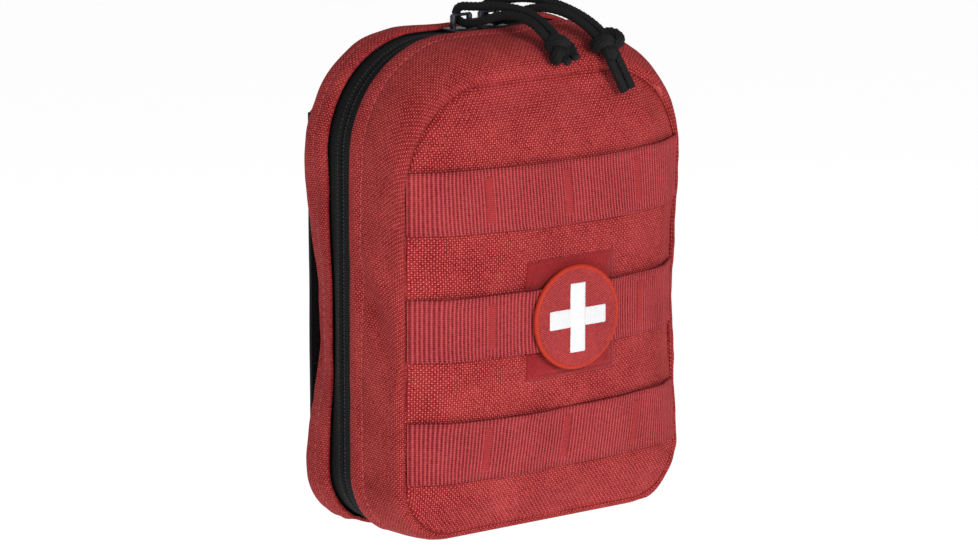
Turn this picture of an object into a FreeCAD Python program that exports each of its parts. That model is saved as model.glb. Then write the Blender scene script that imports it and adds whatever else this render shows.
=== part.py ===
"""Soft first aid pouch that opens like a clamshell: a deep front cover and a shallow back half,
hinged at the base and closed by a zipper with two sliders. Millimetres, +Z up, the front faces -Y,
and the origin is at the centre of the base."""

import FreeCAD
import Part
import math
import os

V = FreeCAD.Vector

# The pouch's outline and depth.
WIDTH = 150.0
HEIGHT = 203.0
TOP_RADIUS = 46.0
FOOT_RADIUS = 28.0
WALL = 2.0
COVER_DEPTH = 39.5          # from the zipper's middle to the front seam
COVER_CROWN = 13.0          # how far the stuffed front stands out at its middle
BACK_DEPTH = 24.5
BACK_CROWN = 2.5
CROWN_POWER = 3
SEAM_SIDE_INSET = 5.0
SEAM_TOP_INSET = 16.0
SEAM_FOOT_INSET = 5.0
LINING = 0.8
STIFFENER = 2.5

# Zipper, measured from its middle.
TAPE_WINDOW = 7.5           # half the width of tape that shows between the two gussets
TAPE_REACH = 12.0
TAPE_THICK = 0.8
COIL_NEAR = 0.7
COIL_FAR = 3.6
COIL_THICK = 2.2
BINDING_WIDTH = 8.0
BINDING_THICK = 1.2
HINGE_HALF = 38.0           # half the length of the cloth hinge between the zipper's ends
HINGE_THICK = 1.0

# Webbing grid: 25.4 mm webbing with a gap of its own width, tacked every 38.1 mm.
WEBBING_WIDTH = 25.4
WEBBING_THICK = 1.4
ROW_PITCH = 50.8
TACK_PITCH = 38.1
LOWEST_ROW = 28.5
TACK_WIDTH = 3.6
TACK_MARGIN = 3.5
TACK_THICK = 0.6
ROWS = ("bottom", "middle", "top")

# Patch and the loop field that it sticks to.
FIELD_WIDTH = 45.0
FIELD_HEIGHT = 49.0
FIELD_THICK = 1.2
PATCH_RADIUS = 21.5
PATCH_GAP = 0.4
HOOK_THICK = 1.4
BASE_THICK = 1.2
BORDER_WIDTH = 2.2
CROSS_LENGTH = 28.5
CROSS_ARM = 7.8
CROSS_THICK = 0.5

# Back straps and their snaps.
STRAP_X = 56.0
STRAP_WIDTH = 25.4
STRAP_THICK = 1.8
STRAP_GAP = 0.4
STRAP_FOOT = 14.0
STRAP_TOP = 170.0
ANCHOR_HEIGHT = 9.0
ANCHOR_GAP = 1.3            # lets the strap swing up to level
SNAP_Z = 21.0
STUD_RADIUS = 1.8
SOCKET_RADIUS = 2.1
SLEEVE_RADIUS = 3.2
SNAP_RADIUS = 6.5
CAP_THICK = 1.8

# Sliders and their cord pulls.
SLIDER_LENGTH = 12.0
SLIDER_WIDTH = 10.4
SLIDER_GAP = 0.3
PLATE_THICK = 1.0
BLADE_THICK = 0.76
BAR_RADIUS = 0.7
BRIDGE_LENGTH = 10.0
LEG_LENGTH = 1.2
BAR_RISE = 5.5
CORD_RADIUS = 1.8
SLIDER_X = {"left": -12.5, "right": 1.5}
KNOTS = {"left": (V(5.0, -30.0, 198.2), 6.5), "right": (V(28.6, -31.0, 198.0), 7.0)}

# The routes of the pull cords: one strand goes round the slider's bar and over, one goes under.
ROUTES = {
    "left_pull_cord_over": [
        (-12.5, 9.5, 205.3), (-12.5, 15.7, 205.3), (-12.5, 15.7, 211.7), (-10.0, 7.0, 212.6),
        (-4.6, -2.5, 214.0), (-0.4, -11.5, 213.2), (2.4, -19.5, 210.0), (4.6, -26.0, 204.6),
        (7.2, -30.2, 198.6), (9.2, -37.6, 196.0)],
    "left_pull_cord_under": [
        (-12.5, 9.5, 205.3), (-12.5, 5.2, 205.3), (-9.6, -0.6, 206.8), (-5.4, -6.6, 208.4),
        (-2.0, -13.2, 208.2),
        (-0.4, -20.0, 206.2), (0.8, -26.0, 201.8), (2.9, -29.8, 197.0), (3.6, -37.0, 193.6)],
    "right_pull_cord_over": [
        (1.5, 9.5, 205.3), (1.5, 15.7, 205.3), (1.5, 15.7, 211.7), (4.2, 7.0, 213.6),
        (10.2, -1.5, 215.2), (17.0, -10.5, 213.6), (23.6, -19.0, 209.4), (28.2, -26.0, 204.0),
        (30.8, -31.2, 198.0), (33.4, -34.6, 189.6), (37.6, -36.4, 180.4)],
    "right_pull_cord_under": [
        (1.5, 9.5, 205.3), (1.5, 5.2, 205.3), (5.2, -0.8, 207.2), (10.6, -6.0, 209.2),
        (16.4, -12.6, 208.8), (21.2, -19.6, 206.2), (24.8, -26.4, 201.4), (26.5, -31.0, 196.2), (28.8, -34.6, 187.6),
        (33.0, -36.2, 178.4)],
}

# Contents.
ROLL_RADIUS = 16.5
ROLL_X = {"gauze": -39.0, "elastic_bandage": 0.0, "cohesive_bandage": 39.0}
ROLL_LOW = 8.0
ROLL_HIGH = 84.0
ELASTIC_THICK = 1.2
ELASTIC_WIDTH = 25.0
ELASTIC_LOW = {"lower": 14.0, "upper": 50.0}
SNUG = 0.3
POCKET_DEPTH = 14.0
SLIP_DEPTH = 17.0

# Places worked out from the sizes above.
FRONT_REACH = (COVER_DEPTH + COVER_CROWN + WEBBING_THICK + PATCH_GAP + HOOK_THICK + BASE_THICK
               + CROSS_THICK)
BACK_REACH = BACK_DEPTH + BACK_CROWN + WEBBING_THICK + STRAP_GAP + STRAP_THICK + CAP_THICK
ZIP_Y = (FRONT_REACH - BACK_REACH) / 2
FRONT_SEAM_Y = ZIP_Y - COVER_DEPTH
BACK_SEAM_Y = ZIP_Y + BACK_DEPTH
SEAM_HALF_WIDTH = WIDTH / 2 - SEAM_SIDE_INSET
SEAM_HALF_HEIGHT = (HEIGHT - SEAM_TOP_INSET - SEAM_FOOT_INSET) / 2
MIDDLE_Z = SEAM_FOOT_INSET + SEAM_HALF_HEIGHT
STRAP_Y = BACK_SEAM_Y + BACK_CROWN + WEBBING_THICK + STRAP_GAP
LINING_Y = BACK_SEAM_Y - WALL - STIFFENER - LINING
TAPE_Z = HEIGHT - WALL - TAPE_THICK / 2
FAR = 150.0


def save(name, *solids):
    """Writes one sub-part; several solids stay separate inside it."""
    shape = solids[0] if len(solids) == 1 else Part.makeCompound(list(solids))
    if not shape.isValid():
        raise ValueError(name + " isn't valid")
    shape.exportStep("parts/" + name + ".step")


def box(x0, x1, y0, y1, z0, z1):
    return Part.makeBox(x1 - x0, y1 - y0, z1 - z0, V(x0, y0, z0))


def disc(radius, x, y, z, length):
    """A cylinder along Y; a negative length runs to the front."""
    toward = V(0, 1 if length > 0 else -1, 0)
    return Part.makeCylinder(radius, abs(length), V(x, y, z), toward)


def joined(first, *others):
    for other in others:
        first = first.fuse(other)
    return first.removeSplitter()


def outline(half_width, low, high, top_radius, foot_radius):
    """A closed wire in the XZ plane: a rectangle with large round corners."""
    def corner(x, z, side, up, radius):
        bend = radius * (1 - math.sqrt(0.5))
        start = V(x, 0, z - up * radius)
        middle = V(x - side * bend, 0, z - up * bend)
        return Part.Arc(start, middle, V(x - side * radius, 0, z)).toShape()

    def line(x0, z0, x1, z1):
        return Part.LineSegment(V(x0, 0, z0), V(x1, 0, z1)).toShape()

    edges = [line(-half_width + top_radius, high, half_width - top_radius, high),
             line(-half_width + foot_radius, low, half_width - foot_radius, low)]
    for side in (-1, 1):
        x = side * half_width
        edges.append(line(x, low + foot_radius, x, high - top_radius))
        edges.append(corner(x, high, side, 1, top_radius))
        edges.append(corner(x, low, side, -1, foot_radius))
    return Part.Wire(Part.__sortEdges__(edges))


def prism(wire, y0, y1):
    shape = Part.Face(wire).extrude(V(0, y1 - y0, 0))
    shape.translate(V(0, y0, 0))
    return shape


def body_outline(inset):
    return outline(WIDTH / 2 - inset, inset, HEIGHT - inset, TOP_RADIUS - inset, FOOT_RADIUS - inset)


def seam_outline(inset):
    low, high = SEAM_FOOT_INSET + inset, HEIGHT - SEAM_TOP_INSET - inset
    top, foot = TOP_RADIUS - SEAM_SIDE_INSET - inset, FOOT_RADIUS - SEAM_SIDE_INSET - inset
    return outline(SEAM_HALF_WIDTH - inset, low, high, top, foot)


def ring(outer_inset, inner_inset, y0, y1):
    """A band that follows the pouch's outline."""
    return prism(body_outline(outer_inset), y0, y1).cut(prism(body_outline(inner_inset), y0 - 1, y1 + 1))


def crown(x, z):
    """The share of the crown at a point of a panel: 1 at its middle, about 0 at its seam."""
    across = abs(x / SEAM_HALF_WIDTH) ** CROWN_POWER
    up = abs((z - MIDDLE_Z) / SEAM_HALF_HEIGHT) ** CROWN_POWER
    return 1 - across - up


def inside_panel(seam_y, crown_height, outward):
    """All the space on the inner side of a crowned panel. outward is -1 at the front, 1 at the back."""
    columns = [16.0 * i for i in range(-5, 6)]
    rows = [-8.0 + 18.25 * i for i in range(13)]
    grid = [[V(x, seam_y + outward * crown_height * crown(x, z), z) for z in rows] for x in columns]
    surface = Part.BSplineSurface()
    surface.interpolate(grid)
    return surface.toShape().extrude(V(0, -outward * FAR, 0))


def behind_front(offset):
    """Everything behind the front panel's outside, which is moved forward by offset."""
    return inside_panel(FRONT_SEAM_Y - offset, COVER_CROWN, -1)


def before_back(offset):
    """Everything in front of the back panel's outside, which is moved backward by offset."""
    return inside_panel(BACK_SEAM_Y + offset, BACK_CROWN, 1)


def front_layer(inner, outer):
    return behind_front(outer).cut(behind_front(inner))


def back_layer(inner, outer):
    return before_back(outer).cut(before_back(inner))


def row_low(row):
    return LOWEST_ROW + row * ROW_PITCH


def row_middle(row):
    return row_low(row) + WEBBING_WIDTH / 2


def webbing_rows(side, layer, tack_layer, hidden):
    """Three rows of webbing on a panel, and the bar tacks that hold them down."""
    zone = prism(seam_outline(0.2), -FAR, FAR)
    for row, name in enumerate(ROWS):
        strip = box(-WIDTH, WIDTH, -FAR, FAR, row_low(row), row_low(row) + WEBBING_WIDTH)
        save(side + "_webbing_" + name, layer.common(strip).common(zone))
    tacks = []
    for row in range(len(ROWS)):
        for column in (-1, 0, 1):
            if (row, column) != hidden:
                x = column * TACK_PITCH
                low, high = row_low(row) + TACK_MARGIN, row_low(row) + WEBBING_WIDTH - TACK_MARGIN
                bar = box(x - TACK_WIDTH / 2, x + TACK_WIDTH / 2, -FAR, FAR, low, high)
                tacks.append(tack_layer.common(bar))
    save(side + "_bar_tacks", *tacks)


def half_shell(side, edge_y, seam_y, outward, solid_inside):
    """One half of the pouch: its gusset with the rounded rim, and its panel inside the seam."""
    y0, y1 = sorted((edge_y, seam_y + outward * 40))
    shell = prism(body_outline(0), y0, y1).common(solid_inside(0))
    inner0, inner1 = sorted((edge_y - outward, seam_y + outward * 40))
    shell = shell.cut(prism(body_outline(WALL), inner0, inner1).common(solid_inside(-WALL)))
    window = prism(seam_outline(0), *sorted((edge_y + outward * WALL * 3, seam_y + outward * 60)))
    save(side + "_gusset", shell.cut(window))
    save(side + "_panel", shell.common(window))
    binding = sorted(ZIP_Y + outward * reach for reach in (TAPE_REACH, TAPE_REACH + BINDING_WIDTH))
    save(side + "_gusset_binding", ring(WALL, WALL + BINDING_THICK, *binding))


def make_zipper_side(side, outward):
    """The tape and the coil of one side, left out where the cloth hinge is."""
    def band(outer_inset, inner_inset, near, far):
        y0, y1 = sorted((ZIP_Y + outward * near, ZIP_Y + outward * far))
        return ring(outer_inset, inner_inset, y0, y1).cut(box(-HINGE_HALF, HINGE_HALF, -FAR, FAR, -5, 20))

    middle = WALL + TAPE_THICK / 2
    save(side + "_zipper_tape", band(WALL, WALL + TAPE_THICK, COIL_FAR, TAPE_REACH))
    save(side + "_zipper_coil", band(middle - COIL_THICK / 2, middle + COIL_THICK / 2, COIL_NEAR, COIL_FAR))


def make_cover():
    half_shell("front", ZIP_Y - TAPE_WINDOW, FRONT_SEAM_Y, -1, behind_front)
    make_zipper_side("front", -1)
    lining_zone = prism(body_outline(WALL + 4), -FAR, FAR)
    save("front_lining", lining_zone.common(front_layer(-WALL - LINING, -WALL)))
    tack_layer = front_layer(WEBBING_THICK, WEBBING_THICK + TACK_THICK)
    webbing_rows("front", front_layer(0, WEBBING_THICK), tack_layer, hidden=(1, 0))
    middle = row_middle(1)
    field = box(-FIELD_WIDTH / 2, FIELD_WIDTH / 2, -FAR, FAR,
                middle - FIELD_HEIGHT / 2, middle + FIELD_HEIGHT / 2)
    row_room = box(-WIDTH, WIDTH, -FAR, FAR, row_low(1), row_low(1) + WEBBING_WIDTH)
    save("patch_loop_field", *front_layer(0, FIELD_THICK).common(field).cut(row_room).Solids)
    make_cover_pocket()


def make_cover_pocket():
    """Mesh pocket inside the cover, open at the top, with the packs that it holds."""
    rear = FRONT_SEAM_Y + WALL + POCKET_DEPTH
    half, low, high = 58.0, 12.0, 112.0
    outer = box(-half, half, FRONT_SEAM_Y - 20, rear, low, high)
    inner = box(-half + LINING, half - LINING, FRONT_SEAM_Y - 21, rear - LINING, low + LINING, high + 5)
    save("mesh_pocket", outer.cut(inner).common(behind_front(-WALL - LINING)))
    cap = box(-half - 0.6, half + 0.6, rear - LINING, rear, high, high + 4)
    save("mesh_pocket_binding", joined(cap, box(-half - 0.6, half + 0.6, rear, rear + LINING, 108, high + 4)))
    save("glove_pack", box(-50, 4, rear - 9.5, rear - 1.2, 14, 96))
    save("wipe_pack", box(10, 50, rear - 8.0, rear - 1.2, 14, 70))


def make_patch():
    """Round patch: hook backing, twill base, overlocked border and a raised cross."""
    z = row_middle(1)
    touch = FRONT_SEAM_Y - COVER_CROWN - WEBBING_THICK - PATCH_GAP
    base_y = touch - HOOK_THICK
    face_y = base_y - BASE_THICK
    save("patch_hook_backing", disc(PATCH_RADIUS - 0.8, 0, touch, z, -HOOK_THICK))
    save("patch_base", disc(PATCH_RADIUS - BORDER_WIDTH, 0, base_y, z, -BASE_THICK))
    hole = disc(PATCH_RADIUS - BORDER_WIDTH, 0, base_y + 1, z, -BASE_THICK - 2)
    save("patch_border", disc(PATCH_RADIUS, 0, base_y, z, -BASE_THICK).cut(hole))
    half, arm = CROSS_LENGTH / 2, CROSS_ARM / 2
    upright = box(-arm, arm, face_y - CROSS_THICK, face_y, z - half, z + half)
    save("patch_cross", joined(upright, box(-half, half, face_y - CROSS_THICK, face_y, z - arm, z + arm)))


def make_back():
    half_shell("back", ZIP_Y + TAPE_WINDOW, BACK_SEAM_Y, 1, before_back)
    make_zipper_side("back", 1)
    zone = prism(body_outline(WALL + 4), -FAR, FAR)
    save("back_stiffener", zone.common(back_layer(-WALL - STIFFENER, -WALL)))
    save("back_lining", zone.common(back_layer(-WALL - STIFFENER - LINING, -WALL - STIFFENER)))
    tack_layer = back_layer(WEBBING_THICK, WEBBING_THICK + TACK_THICK / 2)
    webbing_rows("back", back_layer(0, WEBBING_THICK), tack_layer, hidden=None)
    save("hinge_strip", box(-HINGE_HALF + 0.5, HINGE_HALF - 0.5,
                            ZIP_Y - TAPE_WINDOW + 0.6, ZIP_Y + TAPE_WINDOW, 0, HINGE_THICK))
    stop_low = WALL + TAPE_THICK
    stops = [box(x - 1.5, x + 1.5, ZIP_Y + 4, ZIP_Y + 8, stop_low, stop_low + 0.8)
             for x in (-HINGE_HALF - 2, HINGE_HALF + 2)]
    save("zipper_end_stops", *stops)
    make_rolls()
    make_slip_pocket()


def loop_block(x, centre_y, radius, low, beyond):
    """The space of an elastic loop: round in front, and straight back to the lining."""
    start, length = low - beyond, ELASTIC_WIDTH + 2 * beyond
    legs = box(x - radius, x + radius, centre_y, LINING_Y + 5, start, start + length)
    return Part.makeCylinder(radius, length, V(x, centre_y, start)).fuse(legs)


def make_rolls():
    """Three rolls of bandage under two wide elastic bands that are sewn down between them."""
    centre_y = LINING_Y - ROLL_RADIUS - SNUG
    lining_face = before_back(-WALL - STIFFENER - LINING)
    for name, x in ROLL_X.items():
        save(name + "_roll", Part.makeCylinder(ROLL_RADIUS, ROLL_HIGH - ROLL_LOW, V(x, centre_y, ROLL_LOW)))
    for name, low in ELASTIC_LOW.items():
        band = box(-61, 61, LINING_Y - ELASTIC_THICK, LINING_Y, low, low + ELASTIC_WIDTH)
        room = None
        for x in ROLL_X.values():
            band = band.fuse(loop_block(x, centre_y, ROLL_RADIUS + SNUG + ELASTIC_THICK, low, 0))
            hole = loop_block(x, centre_y, ROLL_RADIUS + SNUG, low, 1)
            room = hole if room is None else room.fuse(hole)
        save("elastic_band_" + name, band.cut(room).common(lining_face).removeSplitter())


def make_slip_pocket():
    """Slip pocket on the back lining, and the flat packs that stand in it."""
    front = LINING_Y - SLIP_DEPTH
    half, low, high = 62.0, 92.0, 158.0
    outer = box(-half, half, front, LINING_Y + 9, low, high)
    inner = box(-half + LINING, half - LINING, front + LINING, LINING_Y + 10, low + LINING, high + 5)
    lining_face = before_back(-WALL - STIFFENER - LINING)
    save("slip_pocket", outer.cut(inner).common(lining_face))
    cap = box(-half - 0.6, half + 0.6, front, front + LINING, high, high + 4)
    lip = box(-half - 0.6, half + 0.6, front - LINING, front, high - 4, high + 4)
    save("slip_pocket_binding", joined(cap, lip))
    save("dressing_pack_large", box(-56, 20, front + 1.4, front + 8.4, 94, 172))
    save("dressing_pack_small", box(-50, 8, front + 8.8, front + 14.8, 94, 180))
    save("triangular_bandage_pack", box(24, 56, front + 1.4, front + 14.4, 94, 166))


def make_back_straps():
    """Two hanging straps that weave a pouch onto a pack, each closed by a snap at its foot."""
    panel = before_back(0)
    anchors, studs = [], []
    for side, x in (("left", -STRAP_X), ("right", STRAP_X)):
        half = STRAP_WIDTH / 2
        top = STRAP_TOP + ANCHOR_GAP
        anchor = box(x - half, x + half, BACK_SEAM_Y - 9, STRAP_Y + STRAP_THICK, top, top + ANCHOR_HEIGHT)
        zone = prism(seam_outline(0.4), ZIP_Y, FAR)
        anchors.append(anchor.common(zone).cut(panel))
        stud = disc(5.5, x, BACK_SEAM_Y - 4, SNAP_Z, STRAP_Y - 0.5 - BACK_SEAM_Y + 4).cut(panel)
        post = disc(STUD_RADIUS, x, STRAP_Y - 0.5, SNAP_Z, 0.5 + STRAP_THICK)
        studs.append(joined(stud, post))
        strap = box(x - half, x + half, STRAP_Y, STRAP_Y + STRAP_THICK, STRAP_FOOT, STRAP_TOP)
        save(side + "_strap", strap.cut(disc(SLEEVE_RADIUS, x, STRAP_Y - 1, SNAP_Z, STRAP_THICK + 2)))
        sleeve = disc(SLEEVE_RADIUS, x, STRAP_Y, SNAP_Z, STRAP_THICK)
        cap = joined(sleeve, disc(SNAP_RADIUS, x, STRAP_Y + STRAP_THICK, SNAP_Z, CAP_THICK))
        socket = disc(SOCKET_RADIUS, x, STRAP_Y - 1, SNAP_Z, 1 + STRAP_THICK + CAP_THICK / 2)
        save(side + "_snap_cap", cap.cut(socket))
    save("strap_anchors", *anchors)
    save("snap_studs", *studs)


def make_slider(side, x):
    """Two plates joined by a blade between the coils, under a bridge whose bar holds the cord."""
    gap = COIL_THICK / 2 + SLIDER_GAP
    half_l, half_w = SLIDER_LENGTH / 2, SLIDER_WIDTH / 2
    deck = TAPE_Z + gap + PLATE_THICK

    def plate(z):
        shape = box(x - half_l, x + half_l, ZIP_Y - half_w, ZIP_Y + half_w, z, z + PLATE_THICK)
        upright = [e for e in shape.Edges if abs(e.Vertexes[0].Z - e.Vertexes[1].Z) > PLATE_THICK / 2]
        return shape.makeFillet(3.0, upright)

    blade = box(x - half_l + 3, x + half_l - 3, ZIP_Y - BLADE_THICK / 2, ZIP_Y + BLADE_THICK / 2,
                TAPE_Z - gap, TAPE_Z + gap)
    bar_z = deck + BAR_RISE
    start = x - BRIDGE_LENGTH / 2
    bar = Part.makeCylinder(BAR_RADIUS, BRIDGE_LENGTH, V(start, ZIP_Y, bar_z), V(1, 0, 0))
    legs = [box(x0, x0 + LEG_LENGTH, ZIP_Y - BAR_RADIUS, ZIP_Y + BAR_RADIUS, deck, bar_z)
            for x0 in (start, start + BRIDGE_LENGTH - LEG_LENGTH)]
    save(side + "_slider", joined(plate(deck - PLATE_THICK), plate(TAPE_Z - gap - PLATE_THICK), blade, bar, *legs))
    return bar_z


def tube(name, points, radius):
    """A cord along straight runs that are joined by tangent arcs."""
    points = [V(*p) for p in points]
    edges, radii, here = [], [], points[0]
    for before, corner, after in zip(points, points[1:], points[2:]):
        into, out = corner - before, after - corner
        reach = 0.45 * min(into.Length, out.Length)
        half_turn = into.getAngle(out) / 2
        radii.append(reach / math.tan(half_turn))
        start = corner - into.normalize() * reach
        end = corner + out.normalize() * reach
        bisector = (start + end) * 0.5 - corner
        depth = radii[-1] * (1 / math.cos(half_turn) - 1)
        middle = corner + bisector.normalize() * depth
        edges.append(Part.LineSegment(here, start).toShape())
        edges.append(Part.Arc(start, middle, end).toShape())
        here = end
    edges.append(Part.LineSegment(here, points[-1]).toShape())
    path = Part.Wire(edges)
    profile = Part.Wire(Part.makeCircle(radius, points[0], points[1] - points[0]))
    shape = path.makePipeShell([profile], True, False)
    expected = math.pi * radius ** 2 * path.Length
    print(name, "length %.1f" % path.Length, "volume ratio %.4f" % (shape.Volume / expected),
          "radii", " ".join("%.1f" % r for r in radii))
    return shape


def make_pulls():
    for name, points in ROUTES.items():
        save(name, tube(name, points, CORD_RADIUS))
    for side, (centre, radius) in KNOTS.items():
        save(side + "_pull_knot", Part.makeSphere(radius, centre))


os.makedirs("parts", exist_ok=True)
make_cover()
make_patch()
make_back()
make_back_straps()
for slider_side, slider_x in SLIDER_X.items():
    print(slider_side, "slider bar at z", make_slider(slider_side, slider_x))
make_pulls()
print("zipper y", ZIP_Y, "front seam y", FRONT_SEAM_Y, "back seam y", BACK_SEAM_Y, "lining y", LINING_Y,
      "strap y", STRAP_Y)
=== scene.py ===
"""The looks of a soft clamshell first aid pouch: cloth shells, webbing, patch, zipper, cord pulls,
back straps and inner organisers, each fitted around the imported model."""

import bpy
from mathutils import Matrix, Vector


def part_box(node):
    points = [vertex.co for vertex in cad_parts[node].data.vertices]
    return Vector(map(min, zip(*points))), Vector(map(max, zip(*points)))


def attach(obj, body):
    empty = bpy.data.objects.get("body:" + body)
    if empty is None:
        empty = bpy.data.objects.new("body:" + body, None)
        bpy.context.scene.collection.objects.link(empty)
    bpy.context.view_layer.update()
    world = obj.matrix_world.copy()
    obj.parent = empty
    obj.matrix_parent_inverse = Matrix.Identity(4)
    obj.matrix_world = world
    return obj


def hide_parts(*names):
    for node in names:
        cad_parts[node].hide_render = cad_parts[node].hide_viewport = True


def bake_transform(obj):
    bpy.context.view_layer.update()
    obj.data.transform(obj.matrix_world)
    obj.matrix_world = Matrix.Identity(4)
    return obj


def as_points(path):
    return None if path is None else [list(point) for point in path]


bl_info = {
    "name": "First aid pouch",
    "version": (1, 0, 0),
    "blender": (4, 5, 0),
    "location": "3D view > Sidebar > First aid",
    "description": "Builds a soft zippered first aid pouch and its studio stage",
    "category": "Object",
}

import math
from functools import lru_cache

import bmesh
import bpy
from mathutils import Matrix, Vector, noise

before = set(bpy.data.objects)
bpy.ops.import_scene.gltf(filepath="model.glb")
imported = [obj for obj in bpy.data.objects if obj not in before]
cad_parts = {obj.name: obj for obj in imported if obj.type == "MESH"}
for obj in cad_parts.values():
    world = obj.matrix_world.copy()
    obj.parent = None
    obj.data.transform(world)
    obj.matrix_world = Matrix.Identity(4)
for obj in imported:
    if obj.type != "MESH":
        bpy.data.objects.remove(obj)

MM = 0.001


@lru_cache(maxsize=None)
def corners(node):
    lowest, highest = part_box(node)
    return Vector(lowest), Vector(highest)


def low(node):
    return corners(node)[0]


def high(node):
    return corners(node)[1]


def middle(node):
    return (low(node) + high(node)) / 2


def clamp(value):
    return min(1.0, max(0.0, value))


def hump(away, width):
    """A smooth bump of height 1 that fades out over the given width."""
    return math.exp(-(away / width) ** 2)


def ribbed(distance, pitch):
    """A wave of -1 to 1 that starts on a crest."""
    return math.cos(math.tau * distance / pitch)


def flat_map(width, height):
    """The map in metres of a grid that is laid out flat at the given size."""
    return lambda s, t: (width * s, height * t)


def spot(lowest, highest, s, t):
    """The X and Z at a share of the way across and up a box."""
    return lowest.x + (highest.x - lowest.x) * s, lowest.z + (highest.z - lowest.z) * t


def rim_distance(lowest, highest, x, z):
    """How far inside a box's rim an X and a Z are."""
    return min(x - lowest.x, highest.x - x, z - lowest.z, highest.z - z)


ZIP_Y = (high("front_zipper_coil").y + low("back_zipper_coil").y) / 2
HALF_WIDTH = high("front_gusset").x
HEIGHT = high("front_gusset").z
ROW_HEIGHT = high("front_webbing_middle").z - low("front_webbing_middle").z
ROW_LOWS = [low("front_webbing_" + row).z for row in ("bottom", "middle", "top")]
PANEL_LOW = low("front_panel").z
PANEL_HIGH = high("front_panel").z
PANEL_HALF = high("front_panel").x
PANEL_MIDDLE = (PANEL_LOW + PANEL_HIGH) / 2
PANEL_HALF_HEIGHT = (PANEL_HIGH - PANEL_LOW) / 2
PATCH = middle("patch_base")
INSIDE = Vector((0, ZIP_Y, HEIGHT / 2))
BODY_OF = {"front": "cover", "back": "back_half"}
SEAM_FADE = 0.012          # width of the band in which a panel's crown dies away at its seam
WAIST_Z = 0.086            # height of the waist, where the sides are drawn in
WAIST_REACH = 0.040
BACK_NIP_LEFT = 0.0082     # how far each side is drawn in at the waist
BACK_NIP_RIGHT = 0.0040
FRONT_NIP_RIGHT = 0.0036
FRONT_RIGHT_INSET = 0.0012  # how far the whole right side of the front half is drawn in


# ---------------------------------------------------------------- sizes and colours

def length_property(name, description, default):
    return bpy.props.FloatProperty(
        name=name, description=description, default=default, min=0.0, unit="LENGTH", precision=4)


def colour_property(name, description, default):
    return bpy.props.FloatVectorProperty(
        name=name, description=description, default=default, subtype="COLOR", size=3, min=0.0, max=1.0)


class PouchSizes(bpy.types.PropertyGroup):
    """Sizes of the cloth, webbing and cords."""
    top_radius: length_property("Top radius", "Radius of the two top corners", 0.046)
    foot_radius: length_property("Foot radius", "Radius of the two bottom corners", 0.028)
    cover_crown: length_property("Cover crown", "How far the stuffed front stands out", 0.013)
    back_crown: length_property("Back crown", "How far the back stands out", 0.0025)
    bulge: length_property("Bulge", "How much further the stuffed cloth bulges in front", 0.0030)
    cloth: length_property("Cloth", "Thickness of a sewn cloth wall", 0.0016)
    window: length_property("Zipper window", "Half the width of tape between the gussets", 0.0075)
    pillow: length_property("Pillow", "How far cloth swells between the webbing rows", 0.0012)
    webbing: length_property("Webbing", "Thickness of the webbing", 0.0013)
    webbing_rib: length_property("Webbing rib", "Pitch of the webbing's ribs", 0.00155)
    weave: length_property("Weave", "Pitch of the cloth's threads", 0.00092)
    stitch: length_property("Stitch", "Pitch of the topstitching", 0.0032)
    tooth: length_property("Coil pitch", "Pitch of the zipper coil's turns", 0.0016)
    cord: length_property("Cord", "Diameter of the pull cords", 0.0036)


class PouchColours(bpy.types.PropertyGroup):
    """Colours of the cloth, thread and trim."""
    # The red cloth's two colours are a painted highlight on the thread crowns and painted shade in the
    # valleys between them.
    cloth: colour_property("Cloth", "Red pouch cloth, with painted highlight on the thread crowns", (1.00, 0.154, 0.144))
    cloth_valley_shade: colour_property("Cloth valley painted shade", "Painted shade between the threads", (0.19, 0.004, 0.007))
    # The webbing's two colours are a painted highlight on the ribs and painted shade between them.
    webbing: colour_property("Webbing", "Red webbing", (0.56, 0.080, 0.083))
    webbing_rib_shade: colour_property("Webbing valley painted shade", "Painted shade between the ribs", (0.12, 0.003, 0.008))
    thread: colour_property("Thread", "Bar tack thread", (0.44, 0.036, 0.040))
    pile: colour_property("Loop pile", "Loop field", (0.33, 0.014, 0.018))
    edge: colour_property("Patch edge", "Overlocked edge of the patch", (0.52, 0.036, 0.016))
    twill: colour_property("Patch twill", "Red twill of the patch", (0.78, 0.085, 0.088))
    white: colour_property("Cross", "White satin thread", (0.86, 0.86, 0.88))
    black: colour_property("Black trim", "Zipper, cords, binding and straps", (0.0045, 0.0045, 0.0052))
    lining: colour_property("Lining", "Inner lining", (0.075, 0.077, 0.082))


def sizes():
    return bpy.context.scene.pouch_sizes


def colours():
    return bpy.context.scene.pouch_colours


# ---------------------------------------------------------------- outlines and surfaces

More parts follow.
